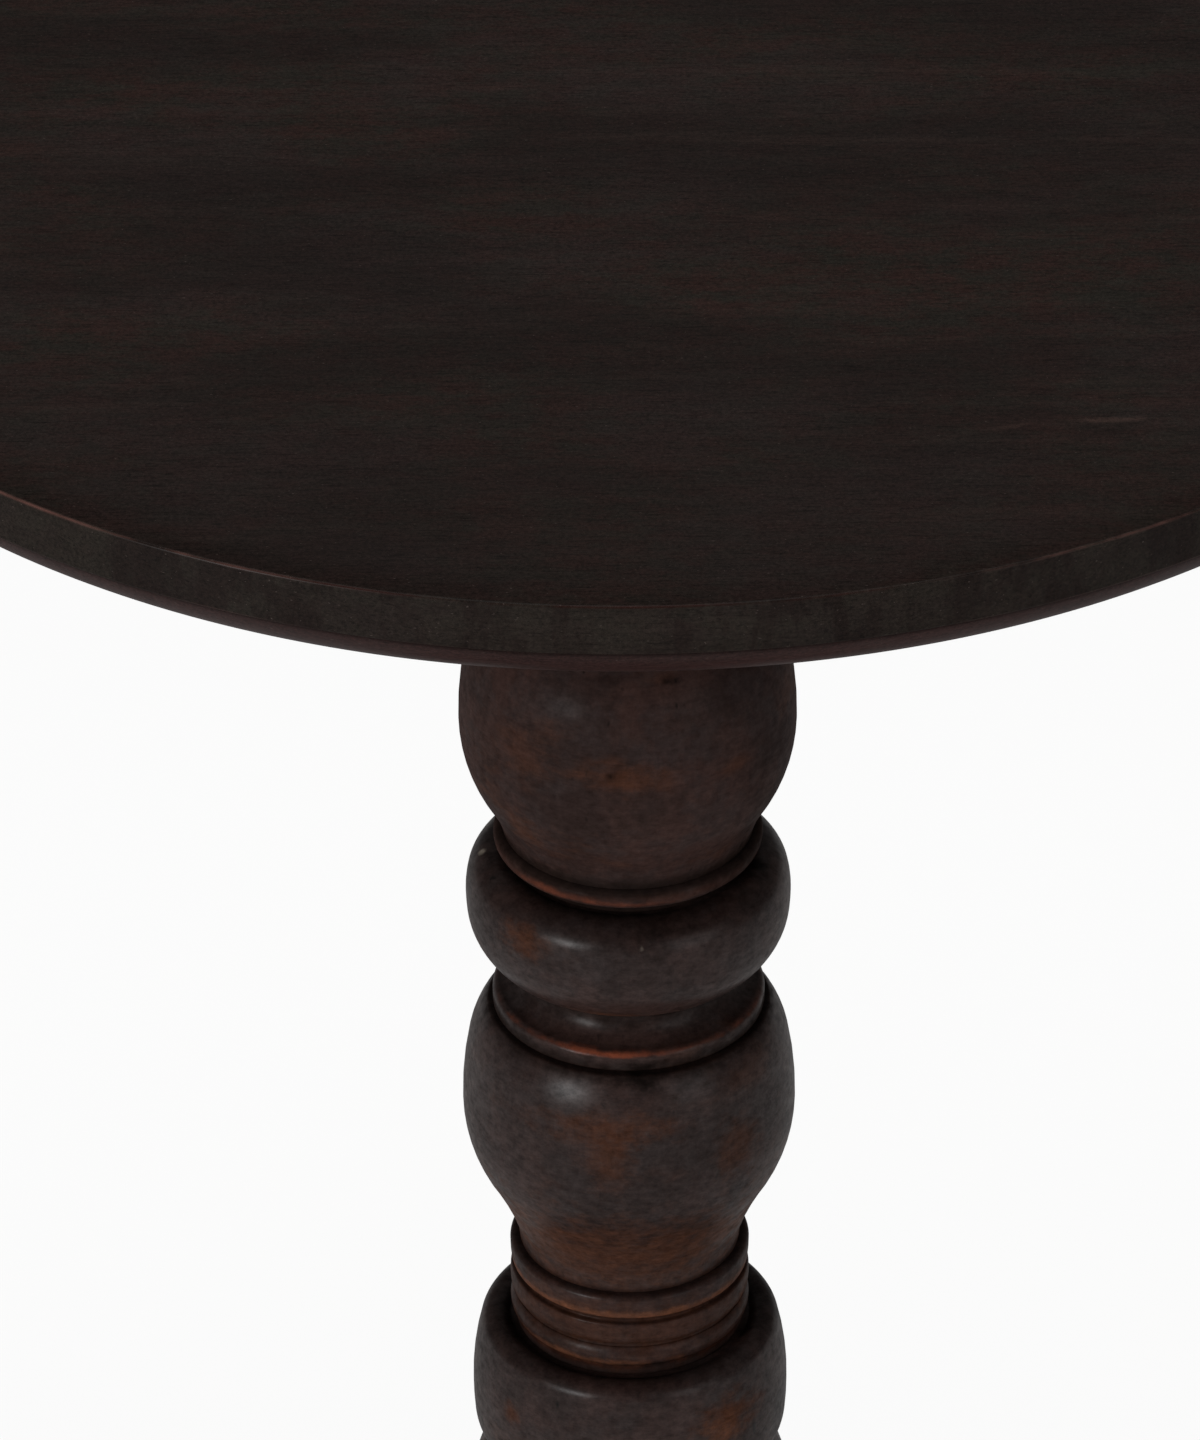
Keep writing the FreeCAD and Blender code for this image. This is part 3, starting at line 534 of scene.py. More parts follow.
def turned_wood(name, seed, spots=(), gloss=1.0, sheen_lift=1.0):
    """The same stain on turned wood: the grain runs up the column and the sanding lines run round it.
    A spot has a colour, its middle in X, Y and Z, half its width and height in mm, and its strength."""
    finish = Finish(name)
    shift = (0.613 * seed, 0.277 * seed, 0.411 * seed)
    cloud = finish.noise((38, 38, 34), shift, 6.0, 0.7)
    cast = finish.noise((60, 60, 70), (shift[1], shift[2], shift[0]), 5.0, 0.7)
    patch = finish.noise((24, 24, 52), (shift[2], shift[0], shift[1]), 5.0, 0.65)
    fibre = finish.noise((800, 800, 70), shift, 3.0, 0.6)
    lathe = finish.noise((3, 3, 1900), shift, 2.0, 0.6)
    grains = finish.noise((330, 330, 540), shift, 5.0, 0.78)
    ragged = finish.noise((170, 170, 260), shift, 4.0, 0.7)
    pits = finish.ramp(finish.noise((260, 260, 120), (shift[1], shift[0], 0.3), 2.0, 0.5), 0.7, 0.78)
    colour = finish.mix(finish.ramp(cloud, 0.4, 0.6), srgb(33, 24, 22), srgb(43, 30, 27))
    colour = finish.mix(finish.ramp(cast, 0.46, 0.62) * 0.6, colour, srgb(38, 31, 30))
    colour = finish.mix(finish.ramp(patch, 0.54, 0.72) * 0.7, colour, srgb(52, 31, 22))
    colour = finish.mix(pits * 0.8, colour, srgb(12, 9, 8))
    patchy = finish.noise((22, 22, 30), shift, 4.0, 0.6)
    rubbed = finish.carried("rub") * finish.ramp(patchy + 0.5 * (ragged - 0.5), 0.38, 0.64)
    # Dark glaze and painted shade in the hollows, grooves and creases, from the mesh, ragged at its edges.
    glaze_and_shade = finish.ramp(finish.carried("glaze_and_shade") + 0.9 * (ragged - 0.5), 0.1, 0.9)
    colour = finish.mix(glaze_and_shade * 0.8, colour, srgb(19, 14, 12))
    colour = finish.mix(rubbed * 0.8, colour, rubbed_red)
    lacquer = gloss * (0.1 + 0.3 * cloud + 0.5 * (grains - 0.5))
    lacquer = lacquer * (1.0 - 0.9 * glaze_and_shade) * (1.0 - 0.5 * rubbed)
    for spot_colour, x, y, z, width, height, strength in spots:
        per_size = (1 / (width * mm), 1 / (width * mm), 1 / (height * mm))
        offset = finish.place(per_size, (-x * mm, -y * mm, -z * mm))
        far = finish.node("ShaderNodeVectorMath", {"operation": "LENGTH"}, {0: offset}, "Value")
        spot = finish.ramp(1.25 - far + 2.2 * (ragged - 0.5), 0.0, 1.3)
        colour = finish.mix(spot * strength, colour, spot_colour)
        lacquer = lacquer * (1.0 - 0.6 * strength * spot)
    # The factor each piece passes in scales its whole colour; above one it paints the piece paler, a painted
    # sheen.
    colour = finish.tint(colour, sheen_lift + 2.0 * (grains - 0.5) + 0.5 * (fibre - 0.5) + 0.4 * (lathe - 0.5))
    relief = fibre * 0.5 + lathe * 0.5 + grains * 0.9 - pits
    finish.lay_on(colour, 0.5 + 0.2 * cloud, relief, strength=0.5, depth=0.15 * mm)
    satin(finish, lacquer)
    return finish.material


foot_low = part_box("bell_foot")[0].z + broad_spigot_length
throat_top = foot_height - collar_height
foot_mesh = turned_mesh("foot", socket_end(foot_height) + [
    Turn(collar_radius, foot_height, 0, 0.7),
    Turn(collar_radius, throat_top, 0, 0.7),
    # Painted shade, partly dark glaze, in the throat under the collar and, below, in the hollow over the lip.
    Turn(throat_radius, throat_top, 0, 0, 3 * mm),
    Turn(throat_radius, throat_top - throat_height),
    Turn(waist_radius, waist_height, -7 * mm),
    Turn(foot_radius, foot_lip_height, 6 * mm, 0, 4 * mm),
    Turn(foot_radius + foot_lip_reach, foot_lip_height, 0, 0.8),
    Turn(foot_radius + foot_lip_reach, 0, 0.9 * mm, 0.4),
] + spigot_end(broad_spigot_radius, broad_spigot_length), foot_low, segments=200, step=2.5 * mm)
pilot_depth = 12 * mm
pilot_point = 16.2 * mm
foot_pilots = holes_around("foot_pilot", [
    Turn(0, pilot_point),
    Turn(screw_hole_radius, pilot_depth),
    Turn(screw_hole_radius, -cut_past),
    Turn(0, -cut_past),
], foot_low, screw_circle, screw_angles)
shown(drilled(foot_mesh, foot_pilots), turned_wood("foot_wood", 2), "column_wood", "bell_foot")

# Neck rings
# A collar, a flat band and a bead, turned from one short blank, above the lower baluster and again under it.
# Each sits on a spigot and is held by the tie rod alone. Its edges are rubbed brown, the upper one's most.

ring_radius = 30.5 * mm
ring_height = 24.8 * mm
ring_collar_round = 1.5 * mm
ring_collar_foot = 18.2 * mm
ring_band_top = 16.4 * mm
ring_band_foot = 10.5 * mm
ring_bead_top = 8.8 * mm
ring_bead_foot = 3 * mm
ring_groove_depth = 1.8 * mm
ring_quirk_depth = 1.5 * mm
ring_band_inset = 0.25 * mm
ring_bead_inset = 1.2 * mm
ring_foot_inset = 1.4 * mm
taper_radius = 28 * mm
rubbed_brown = srgb(58, 33, 21)
bare_tan = srgb(92, 58, 41)
spilt_black = srgb(8, 6, 5)
for seed, end in ((6, "lower"), (7, "upper")):
    ring_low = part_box(f"{end}_neck_ring")[0].z + spigot_length
    ring_mesh = turned_mesh(f"neck_ring_{end}", socket_end(ring_height) + [
        # Painted shade, partly dark glaze, on the shelf under the taper, in the groove and the quirk and at
        # the foot.
        Turn(taper_radius, ring_height, 0, 0, 2 * mm, 0.5),
        Turn(ring_radius - ring_collar_round, ring_height),
        Turn(ring_radius, ring_height - ring_collar_round, 0.44 * mm),
        Turn(ring_radius - 0.35 * mm, ring_collar_foot, 0.1 * mm, 0.3),
        Turn(ring_radius - ring_groove_depth, ring_collar_foot),
        Turn(ring_radius - ring_groove_depth, ring_band_top, 0, 0, 0.7 * mm, 0.7),
        Turn(ring_radius - ring_band_inset, ring_band_top),
        Turn(ring_radius - ring_band_inset, ring_band_foot, 0.25 * mm),
        Turn(ring_radius - ring_quirk_depth, ring_band_foot),
        Turn(ring_radius - ring_quirk_depth, ring_bead_top, 0, 0, 0.6 * mm, 0.7),
        Turn(ring_radius - ring_bead_inset, ring_bead_top),
        Turn(ring_radius - ring_bead_inset, ring_bead_foot, 1.2 * mm, 0.3),
        Turn(ring_radius - ring_foot_inset, ring_bead_foot),
        Turn(ring_radius - ring_foot_inset, 0, 0, 0, 1.5 * mm, 0.7),
    ] + spigot_end(spigot_radius, spigot_length), ring_low, softness=0.6 * mm, wear=1.3 * mm)
    ring_wood = turned_wood(f"neck_ring_wood_{end}", seed, [
        (rubbed_brown, 0, -20, 267, 60, 12, 0.5),
        (rubbed_brown, 29, -9, 265.8, 5, 5, 0.8),
        (spilt_black, 29, -9, 263.6, 1.5, 1.5, 0.9),
        (bare_tan, 0, -20, 272.6, 60, 1.4, 0.65),
        (bare_tan, -14, -27, 257.8, 24, 1.4, 0.6),
    ], gloss=0.6)
    shown(ring_mesh, ring_wood, "column_wood", f"{end}_neck_ring")

# Lower baluster
# A tall barrel straight on the crown of a long bulb, turned from one blank between the two neck rings.
# The tie rod runs through its bore, and a spigot and a socket keep it in line with the rings.

bulb_radius = 42.1 * mm
shoulder_inset = 1.72 * mm
shoulder_rise = 18.9 * mm
belly_inset = 6.37 * mm
belly_fall = 21.4 * mm
taper_depth = 42.4 * mm
taper_knee_radius = 28.7 * mm
taper_knee_height = 5.2 * mm
crown_height = 29.4 * mm
crown_radius = bulb_radius - 6.6 * mm
crown_swell = 0.7 * mm
barrel_radius = 40.3 * mm
barrel_fall = 17.9 * mm
barrel_rise = 20.9 * mm
taper_end = [
    Turn(taper_knee_radius, taper_knee_height, -0.4 * mm),
    # The taper's end carries painted shade, partly dark glaze, where it meets the ring's shelf.
    Turn(taper_radius, 0, -0.1 * mm, 0, 1.8 * mm, 0.5),
]


def bulb_below_crown(centre, swell):
    """A bulb from under its crown, over its widest circle, down to where its belly turns into the taper."""
    return [
        Turn(bulb_radius - shoulder_inset, centre + shoulder_rise, swell),
        Turn(bulb_radius, centre, 0.51 * mm),
        Turn(bulb_radius - belly_inset, centre - belly_fall, 1.54 * mm),
    ]


lower_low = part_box("lower_baluster")[0].z + spigot_length
lower_crown = taper_depth + crown_height
lower_widest = lower_crown + barrel_fall
lower_height = lower_widest + barrel_rise
barrel = [
    # Painted shade, partly dark glaze, on the barrel's top round the ring's foot and at its foot on the
    # crown.
    Turn(barrel_radius - 9.6 * mm, lower_height, 0, 0, 7 * mm, 0.4),
    Turn(barrel_radius - 2.11 * mm, lower_widest + 18.47 * mm, 2.22 * mm),
    Turn(barrel_radius, lower_widest, 0.63 * mm),
    Turn(barrel_radius - 0.4 * mm, lower_widest - 8 * mm, 0.1 * mm),
    Turn(barrel_radius - 9.5 * mm, lower_crown, 2.24 * mm, 0, 2.5 * mm),
]
lower_mesh = turned_mesh("baluster_lower", (
    socket_end(lower_height) + barrel
    + [Turn(crown_radius, lower_crown)] + bulb_below_crown(taper_depth, crown_swell)
    + taper_end + spigot_end(spigot_radius, spigot_length)
), lower_low)
lower_wood = turned_wood("lower_baluster_wood", 11, [
    (rubbed_brown, 24.9, -30.2, 240.8, 12, 8, 1.0),
    (bare_tan, 22.5, -32, 238, 8, 5, 0.5),
    (rubbed_brown, -30, -25.4, 239.4, 4, 3.5, 0.8),
])
shown(lower_mesh, lower_wood, "column_wood", "lower_baluster")

# Middle baluster
# A drum, a coved neck and a fillet over a bulb with a long taper, turned from one blank.
# Its stain is rubbed through on the fillet, the bulb and the taper. The drum's top is darkened by dark glaze
# and painted shade under the bead above, with black patches there.

drum_radius = 40.8 * mm
drum_fall = 16.75 * mm
drum_rise = 11.35 * mm
neck_height = 10.9 * mm
fillet_height = 5.2 * mm
quirk_depth = 2.7 * mm
quirk_height = 0.6 * mm
drum_top = quirk_height + fillet_height + neck_height + drum_fall + drum_rise
bare_orange = srgb(96, 49, 33)
rubbed_tan = srgb(62, 39, 29)
chipped_pale = srgb(140, 130, 118)


def drum_and_fillet(quirk, neck_radius, fillet_radius):
    """A drum, the coved neck under it and the fillet over a bulb, from the drum's top down to the quirk."""
    fillet_foot = quirk + quirk_height
    fillet_top = fillet_foot + fillet_height
    drum_foot = fillet_top + neck_height
    widest = drum_foot + drum_fall
    return [
        # Painted shade, partly dark glaze, on the drum's top, in the neck under its foot and on the fillet's
        # face and quirk.
        Turn(drum_radius - 10.8 * mm, widest + drum_rise, 0, 0, 6 * mm, 0.5),
        Turn(drum_radius - 0.61 * mm, widest + 5.65 * mm, 2.58 * mm),
        Turn(drum_radius, widest, 0.18 * mm),
        Turn(drum_radius - 0.28 * mm, widest - 4.57 * mm, 0.05 * mm),
        Turn(drum_radius - 7.15 * mm, drum_foot, 1.44 * mm, 0.4),
        Turn(neck_radius, drum_foot),
        Turn(neck_radius, drum_foot - 3 * mm, 0, 0, 6 * mm, 0.8),
        Turn(fillet_radius - 2 * mm, fillet_top, -2 * mm),
        Turn(fillet_radius - 1.48 * mm, fillet_top - 0.07 * mm, 0.0171 * mm),
        Turn(fillet_radius - 0.59 * mm, fillet_top - 0.59 * mm, 0.0681 * mm, 0.3),
        Turn(fillet_radius, fillet_top - 2 * mm, 0.152 * mm),
        Turn(fillet_radius, fillet_foot, 0, 0, 4 * mm, 0.75),
        Turn(fillet_radius - quirk_depth, fillet_foot, 0, 0, 4 * mm, 0.6),
        Turn(fillet_radius - quirk_depth, quirk),
    ]


middle_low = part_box("middle_baluster")[0].z + spigot_length
middle_crown = taper_depth + crown_height
middle_mesh = turned_mesh("baluster_middle", (
    socket_end(middle_crown + drum_top)
    + drum_and_fillet(middle_crown, neck_radius=27 * mm, fillet_radius=34.3 * mm)
    + [Turn(crown_radius, middle_crown)] + bulb_below_crown(taper_depth, crown_swell)
    + taper_end + spigot_end(spigot_radius, spigot_length)
), middle_low, softness=0.5 * mm, wear=0.9 * mm)
middle_wood = turned_wood("middle_baluster_wood", 17, [
    (rubbed_brown, -25.6, -30.1, 387.3, 8, 5, 0.9),
    (rubbed_brown, -5.2, -32, 367.5, 10, 2.5, 0.9),
    (rubbed_brown, -5.9, -39.7, 336.6, 20, 5.5, 0.8),
    (rubbed_brown, -5.7, -40.7, 328.1, 8, 11, 0.7),
    (rubbed_brown, 27.2, -31.2, 325.6, 9, 10, 0.7),
    (rubbed_tan, 0, -10, 293, 80, 18, 1.0),
    (spilt_black, 5.5, -34, 391.5, 7, 6, 0.8),
    (spilt_black, 31.5, -9, 394.5, 4.5, 4, 0.8),
    (spilt_black, 3.3, -35.2, 348.7, 6, 5, 0.8),
    (bare_orange, 0, -28, 355.1, 32, 0.6, 0.35),
    (bare_orange, -6, -33, 355.1, 15, 0.75, 1.0),
    (chipped_pale, -36.6, -0.3, 394, 1.3, 1.3, 0.7),
    (chipped_pale, 3.3, -39.3, 390.8, 0.6, 1.4, 0.2),
])
shown(middle_mesh, middle_wood, "column_wood", "middle_baluster")

# Upper baluster
# The same drum over a narrower neck and fillet and a rounder bulb, which a bead cuts short.
# Turned from one blank, it stands with a spigot in the middle baluster's drum. Its sheen is duller, and its
# colour is painted paler as a painted sheen in its place.

bead_radius = 33.7 * mm
bead_swell = 1.9 * mm
bead_bow = 0.62 * mm
bead_top = 8.6 * mm
recess_height = 3.3 * mm
groove_depth = 4.7 * mm
short_depth = 31.5 * mm
short_crown_height = 35 * mm

# Painted shade, partly dark glaze, in the recess under the bead and the groove beside it.
bead_and_recess = [
    Turn(bead_radius - bead_swell, bead_top),
    Turn(bead_radius, (bead_top + recess_height) / 2, bead_bow, 0.1),
    Turn(bead_radius - bead_swell, recess_height, bead_bow, 0, 1.5 * mm, 0.8),
    Turn(bead_radius - groove_depth, recess_height, 0, 0, 3 * mm),
    Turn(bead_radius - groove_depth, 0, 0, 0, 3 * mm),
]
upper_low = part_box("upper_baluster")[0].z + spigot_length
upper_centre = bead_top + short_depth
upper_crown = upper_centre + short_crown_height
upper_mesh = turned_mesh("baluster_upper", (
    socket_end(upper_crown + drum_top)
    + drum_and_fillet(upper_crown, neck_radius=23.5 * mm, fillet_radius=29 * mm)
    + [Turn(bulb_radius - 12.3 * mm, upper_crown)] + bulb_below_crown(upper_centre, 1.87 * mm)
    # The groove over the bead carries painted shade, partly dark glaze.
    + [Turn(bulb_radius - 10.6 * mm, bead_top, -0.45 * mm, 0, 4 * mm, 0.9)] + bead_and_recess
    + spigot_end(spigot_radius, spigot_length)
), upper_low, softness=0.5 * mm)
# Its colour is painted a quarter paler, a painted sheen in place of what its duller lacquer loses.
upper_wood = turned_wood("upper_baluster_wood", 23, [
    (rubbed_brown, -25.4, -32.3, 442.6, 9, 8, 0.35),
    (rubbed_brown, 1.2, -41.2, 442, 13, 4.5, 0.5),
    (rubbed_brown, 25.8, -32.3, 440.7, 6, 2.5, 0.4),
    (rubbed_brown, -25.8, -27.6, 419.2, 7, 7, 0.5),
    (spilt_black, -4.2, -40.8, 443.2, 2, 1.6, 1.0),
    (spilt_black, 9, -31.2, 465.3, 4, 1.3, 0.9),
    (bare_orange, -19, -27, 400.4, 13, 1.2, 0.35),
    (bare_orange, 0, -33.5, 400, 12, 1, 0.35),
], gloss=0.2, sheen_lift=1.25)
shown(upper_mesh, upper_wood, "column_wood", "upper_baluster")

# Capital
# A stem that flares out to a flange under the block, turned from one blank with the same bead at its foot.
# A broad spigot on top enters the block, and a narrow one below enters the upper baluster's drum.

capital_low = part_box("capital")[0].z + spigot_length
capital_height = 47.3 * mm
flange_radius = 58 * mm
flange_foot = 39.5 * mm
flange_undercut = 2.5 * mm
stem_radius = bead_radius - 4.2 * mm
stem_top = bead_top + 6.5 * mm
capital_mesh = turned_mesh("capital_turned", [
    Turn(bore_radius, capital_height + broad_spigot_length),
    Turn(broad_spigot_radius, capital_height + broad_spigot_length),
    Turn(broad_spigot_radius, capital_height),
    Turn(flange_radius, capital_height, 0, 0.5),
    Turn(flange_radius, flange_foot, 1 * mm, 0.8),
    Turn(flange_radius - flange_undercut, flange_foot),
    Turn(stem_radius, stem_top, -6.5 * mm),
    Turn(stem_radius, bead_top),
] + bead_and_recess + spigot_end(spigot_radius, spigot_length), capital_low, step=2 * mm)
shown(capital_mesh, turned_wood("capital_wood", 29), "column_wood", "capital")

# Mounting block
# A turned disc of plainer wood with the same stain, screwed up into the top with six countersunk screws.
# The nut of the tie rod is let into its upper face and the capital's spigot into its lower one.

block_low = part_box("mounting_block")[0].z
block_thickness = 22 * mm
block_radius = 85 * mm
block_round = 4 * mm
block_screw_circle = 68 * mm
block_mesh = turned_mesh("block", [
    Turn(bore_radius, block_thickness - recess_depth),
    Turn(recess_radius, block_thickness - recess_depth),
    Turn(recess_radius, block_thickness),
    Turn(block_radius, block_thickness),
    Turn(block_radius, block_round),
    Turn(block_radius - block_round, 0, 1.1 * mm, 0.4),
    Turn(broad_socket_radius, 0),
    Turn(broad_socket_radius, broad_socket_depth),
    Turn(bore_radius, broad_socket_depth),
], block_low, segments=200, step=4 * mm)
block_screw_holes = holes_around(
    "block_screw_hole", screw_hole(30 * mm), block_low, block_screw_circle, range(0, 360, 60),
)
block_wood = board_wood("block_wood", 13, block_radius)
shown(drilled(block_mesh, block_screw_holes), block_wood, "block_wood", "mounting_block")

# Round top
# Five dark boards, glued edge to edge with dowels and turned as one disc, grain running left to right.
# The rim has a flat band, a fine quirk with painted shade in it and an undercut lip. Its arris is rubbed pale
# with use towards the sides, and painted shade darkens it to a dark red at the front.

top_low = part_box("top_board_1")[0].z
top_radius = 228.6 * mm
top_thickness = 26 * mm
top_band_foot = 13 * mm
lip_top = top_band_foot - rim_quirk_height
top_disc = turned_mesh("top", [
    Turn(0, top_thickness),
    Turn(top_radius, top_thickness, 0, 1.0),
    Turn(top_radius, top_band_foot, 0, 0.25),
    # Painted shade, partly dark glaze, in the quirk and on the lip's top under the band.
    Turn(top_radius - rim_quirk_depth, top_band_foot, 0, 0, 1.6 * mm, 0.6),
    Turn(top_radius - rim_quirk_depth, lip_top, 0, 0, 1.2 * mm, 0.7),
    Turn(top_radius - rim_inset, 0, rim_swell, 0.3),
    Turn(0, 0),
], top_low, segments=360, softness=0.7 * mm, step=8 * mm, wear=0.4 * mm)


def figured_top(finish, colour):
    """A pale line that bends across the top on the right, darker wood under it, painted shade towards the
    front, and the rim's redder lip."""
    line_middle = 117 * mm
    line_front = 147.9 * mm
    line_bend = 4.14
    line_waver = 3 * mm
    here = finish.here()
    across = finish.node("ShaderNodeSeparateXYZ", {}, {0: here}, "X")
    along = finish.node("ShaderNodeSeparateXYZ", {}, {0: here}, "Y")
    height = finish.node("ShaderNodeSeparateXYZ", {}, {0: here}, "Z")
    waver = finish.noise((60, 60, 60), (0.2, 0.9, 0.5), 3.0)
    aside = across - line_middle
    off = along + line_front + line_bend * aside * aside + line_waver * (waver - 0.5)
    reach = finish.ramp(across, 60 * mm, 110 * mm) * finish.ramp(waver, 0.35, 0.6)
    under = finish.ramp(off, -14 * mm, -4 * mm) * finish.ramp(off, 0.5 * mm, -1 * mm)
    colour = finish.mix(under * reach * 0.45, colour, srgb(20, 14, 13))
    # Painted shade: the top darker towards the front, where less sheen falls on it.
    colour = finish.mix(finish.ramp(along, -90 * mm, -215 * mm) * 0.5, colour, srgb(25, 18, 16))
    width = finish.node("ShaderNodeMath", {"operation": "ABSOLUTE"}, {0: off})
    colour = finish.mix(finish.ramp(width, 1.6 * mm, 0.1 * mm) * reach * 0.5, colour, srgb(60, 45, 40))
    above_foot = finish.ramp(height, top_low + 0.2 * mm, top_low + 1 * mm)
    below_band = finish.ramp(height, top_low + lip_top + 0.4 * mm, top_low + lip_top - 0.4 * mm)
    return finish.mix(above_foot * below_band * 0.6, colour, srgb(43, 26, 25))


def arris_rub_and_shade(finish):
    """The rim's arris, rubbed pale towards the sides, and at the front darkened to a dark red by painted
    shade.
    """
    here = finish.here()
    across = finish.node("ShaderNodeSeparateXYZ", {}, {0: here}, "X")
    sideways = finish.node("ShaderNodeMath", {"operation": "ABSOLUTE"}, {0: across})
    # Painted shade darkens the arris at the front; towards the sides it is rubbed pale.
    return finish.mix(finish.ramp(sideways, 65 * mm, 100 * mm), srgb(42, 17, 14), srgb(92, 62, 56))


top_wood = board_wood("top_wood", 7, top_radius, figured_top, arris_rub_and_shade)
top_width = 2 * top_radius / 5
for number in (1, 2, 3, 4, 5):
    low = (number - 1) * top_width - top_radius
    board = sawn_board(top_disc, f"table_top_{number}", low, low + top_width)
    shown(board, top_wood, "top_wood", f"top_board_{number}")

# Dowels
# Plain beech pegs, glued into the edge joints of the top and of the plinth.
# They keep their shapes from the CAD and only take their finish here.


def dressed(material, slot, *nodes):
    """Gives CAD nodes that are shown as they are their finish."""
    for name in nodes:
        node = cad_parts[name]
        node.data.materials.clear()
        node.data.materials.append(material)


def dowel_wood():
    """Pale bare wood with its grain along the peg and short darker flecks."""
    finish = Finish("pale_dowel_wood")
    streak = finish.noise((900, 70, 900), (0, 0, 0), 3.0)
    fleck = finish.noise((400, 260, 400), (1.3, 0.2, 0.7), 2.0)
    colour = finish.mix(streak, srgb(186, 146, 104), srgb(214, 178, 136))
    colour = finish.mix(finish.ramp(fleck, 0.6, 0.72) * 0.6, colour, srgb(160, 116, 78))
    finish.lay_on(colour, 0.55 + 0.2 * streak, streak, strength=0.3, depth=0.1 * mm)
    return finish.material


dressed(dowel_wood(), "dowel_wood", "top_dowels", "base_dowels")

# Tie rod and fasteners
# A zinc plated rod with a washer and a nut at each end draws the column together.
# Zinc plated screws hold the block to the top and the plinth to the foot. All keep the CAD's shapes.


def plated_metal(name, pale, dull, stain):
    """Plating that is clouded, stained here and there and finely scratched."""
    finish = Finish(name)
    cloud = finish.noise((160, 160, 160), (0.4, 0.1, 0.9), 4.0, 0.6)
    scratch = finish.noise((2400, 2400, 150), (0.2, 0.7, 0.1), 2.0)
    colour = finish.mix(finish.ramp(cloud, 0.35, 0.65), pale, dull)
    colour = finish.mix(finish.ramp(cloud, 0.62, 0.74) * 0.6, colour, stain)
    roughness = 0.26 + 0.2 * cloud + 0.1 * scratch
    finish.lay_on(colour, roughness, scratch, strength=0.15, depth=0.05 * mm)
    finish.feed(finish.shader.inputs["Metallic"], 1.0)
    return finish.material


zinc = plated_metal("zinc_plate", srgb(190, 192, 194), srgb(150, 153, 157), srgb(118, 112, 100))
dressed(
    zinc, "zinc_steel", "block_screws", "foot_screws", "tie_rod",
    "upper_washer", "upper_nut", "lower_washer", "lower_nut",
)

# Levelling glides
# Four zinc plated stems, which screw into brass inserts pressed into the plinth.
# Each has a dark moulded nylon pad pressed on it, scuffed by the floor. All keep the CAD's shapes.


def pad_nylon():
    """Dark nylon with a fine moulded grain and pale scuffs."""
    finish = Finish("pad_nylon")
    cloud = finish.noise((220, 220, 220), (0.1, 0.5, 0.3), 3.0)
    grain = finish.noise((2600, 2600, 2600), (0.3, 0.3, 0.1), 2.0)
    colour = finish.mix(cloud, srgb(34, 32, 31), srgb(48, 45, 43))
    colour = finish.mix(finish.ramp(grain, 0.62, 0.75) * 0.4, colour, srgb(82, 77, 72))
    finish.lay_on(colour, 0.45 + 0.2 * cloud, grain, strength=0.2, depth=0.05 * mm)
    return finish.material


brass = plated_metal("insert_brass", srgb(208, 172, 96), srgb(176, 138, 70), srgb(124, 92, 52))
dressed(brass, "insert_brass", "glide_inserts")
dressed(zinc, "zinc_steel", "glide_stem_1", "glide_stem_2", "glide_stem_3", "glide_stem_4")
dressed(pad_nylon(), "pad_nylon", "glide_pad_1", "glide_pad_2", "glide_pad_3", "glide_pad_4")

# Floor
# A plain white studio floor, which goes on behind the table as far as the eye reaches.
# Most of it glows white to the eye and in reflections, and the rest takes the light and the table's shadow.

floor_reach = 40
glow_share = 0.9
floor_mesh = bpy.data.meshes.new("floor")
floor_mesh.from_pydata([
    (-floor_reach, -floor_reach, 0), (floor_reach, -floor_reach, 0),
    (floor_reach, floor_reach, 0), (-floor_reach, floor_reach, 0),
], [], [(0, 1, 2, 3)])
floor = bpy.data.objects.new("floor", floor_mesh)
bpy.context.scene.collection.objects.link(floor)
paper = Finish("floor_paper")
fleck = paper.noise((60, 60, 60), (0, 0, 0), 2.0)
paper.feed(paper.shader.inputs["Base Color"], paper.mix(fleck, srgb(244, 244, 243), srgb(249, 249, 248)))
paper.feed(paper.shader.inputs["Roughness"], 0.85)
seen = (
    paper.node("ShaderNodeLightPath", {}, {}, "Is Camera Ray")
    + paper.node("ShaderNodeLightPath", {}, {}, "Is Glossy Ray")
    + paper.node("ShaderNodeLightPath", {}, {}, "Is Transmission Ray")
)
glow = paper.node("ShaderNodeEmission", {}, {"Color": (1, 1, 1, 1), "Strength": 1.0})
surface = Wire(paper, paper.shader.outputs[0])
lit = paper.node("ShaderNodeMixShader", {}, {0: seen * glow_share, 1: surface, 2: glow})
paper.feed(paper.tree.nodes["Material Output"].inputs["Surface"], lit)
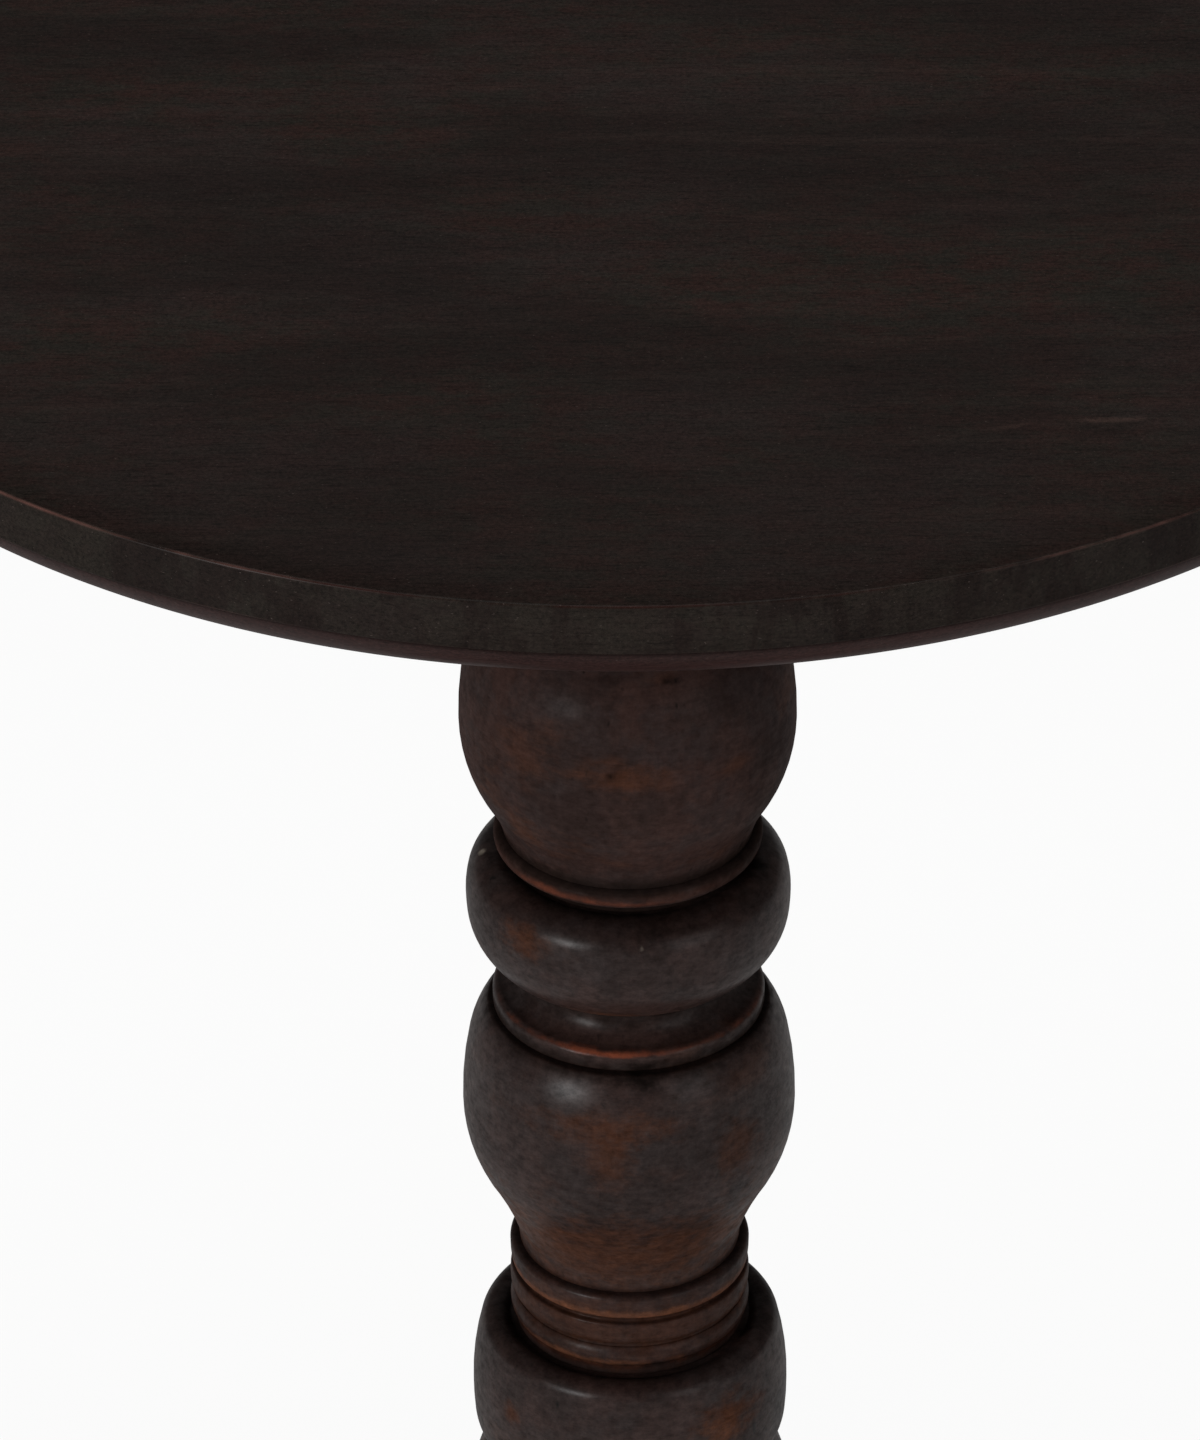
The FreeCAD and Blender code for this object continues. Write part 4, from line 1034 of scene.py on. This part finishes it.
floor_mesh.materials.append(paper.material)

# Light
# A small soft lamp on the left in front makes the glints on the drums and bulbs, and a broad weaker one on
# the right lights their other side. One overhead lights the top, and the surroundings are a dim grey.

lit_middle = Vector((0, 0, 0.4))


def soft_lamp(name, azimuth, elevation, distance, width, power):
    """A square soft box that looks at the column; azimuth is to the right of the camera's side."""
    turn = math.radians(azimuth)
    rise = math.radians(elevation)
    lamp = bpy.data.lights.new(name, "AREA")
    lamp.shape = "SQUARE"
    lamp.size = width
    lamp.energy = power
    holder = bpy.data.objects.new(name, lamp)
    away = Vector((math.sin(turn) * math.cos(rise), -math.cos(turn) * math.cos(rise), math.sin(rise)))
    holder.location = lit_middle + away * distance
    holder.rotation_euler = away.to_track_quat("Z", "Y").to_euler()
    bpy.context.scene.collection.objects.link(holder)


soft_lamp("key_lamp", azimuth=-42, elevation=13, distance=2.4, width=0.45, power=36)
soft_lamp("side_lamp", azimuth=44, elevation=16, distance=2.6, width=1.5, power=16)
soft_lamp("top_lamp", azimuth=0, elevation=88, distance=2.6, width=2.4, power=46)

world = bpy.data.worlds.new("studio")
world.use_nodes = True
surroundings = world.node_tree.nodes["Background"]
surroundings.inputs["Color"].default_value = (0.18, 0.18, 0.18, 1)
surroundings.inputs["Strength"].default_value = 1.0
bpy.context.scene.world = world

# Camera
# The photo's angle: from the front, about 33 degrees above, close on the rim and the upper column.
# It stands about 3 m off with a long lens and leans a little to one side.

camera = bpy.data.cameras.new("camera")
camera.lens = 301.65
camera.sensor_width = 36
camera_holder = bpy.data.objects.new("camera", camera)
camera_holder.location = (0, -2.5254, 2.0543)
swing = Matrix.Rotation(math.radians(0.156), 3, "Z")
tilt = Matrix.Rotation(math.radians(57.3), 3, "X")
lean = Matrix.Rotation(math.radians(-0.3), 3, "Z")
camera_holder.rotation_euler = (swing @ tilt @ lean).to_euler()
bpy.context.scene.collection.objects.link(camera_holder)
bpy.context.scene.camera = camera_holder
bpy.context.scene.view_settings.view_transform = "Standard"
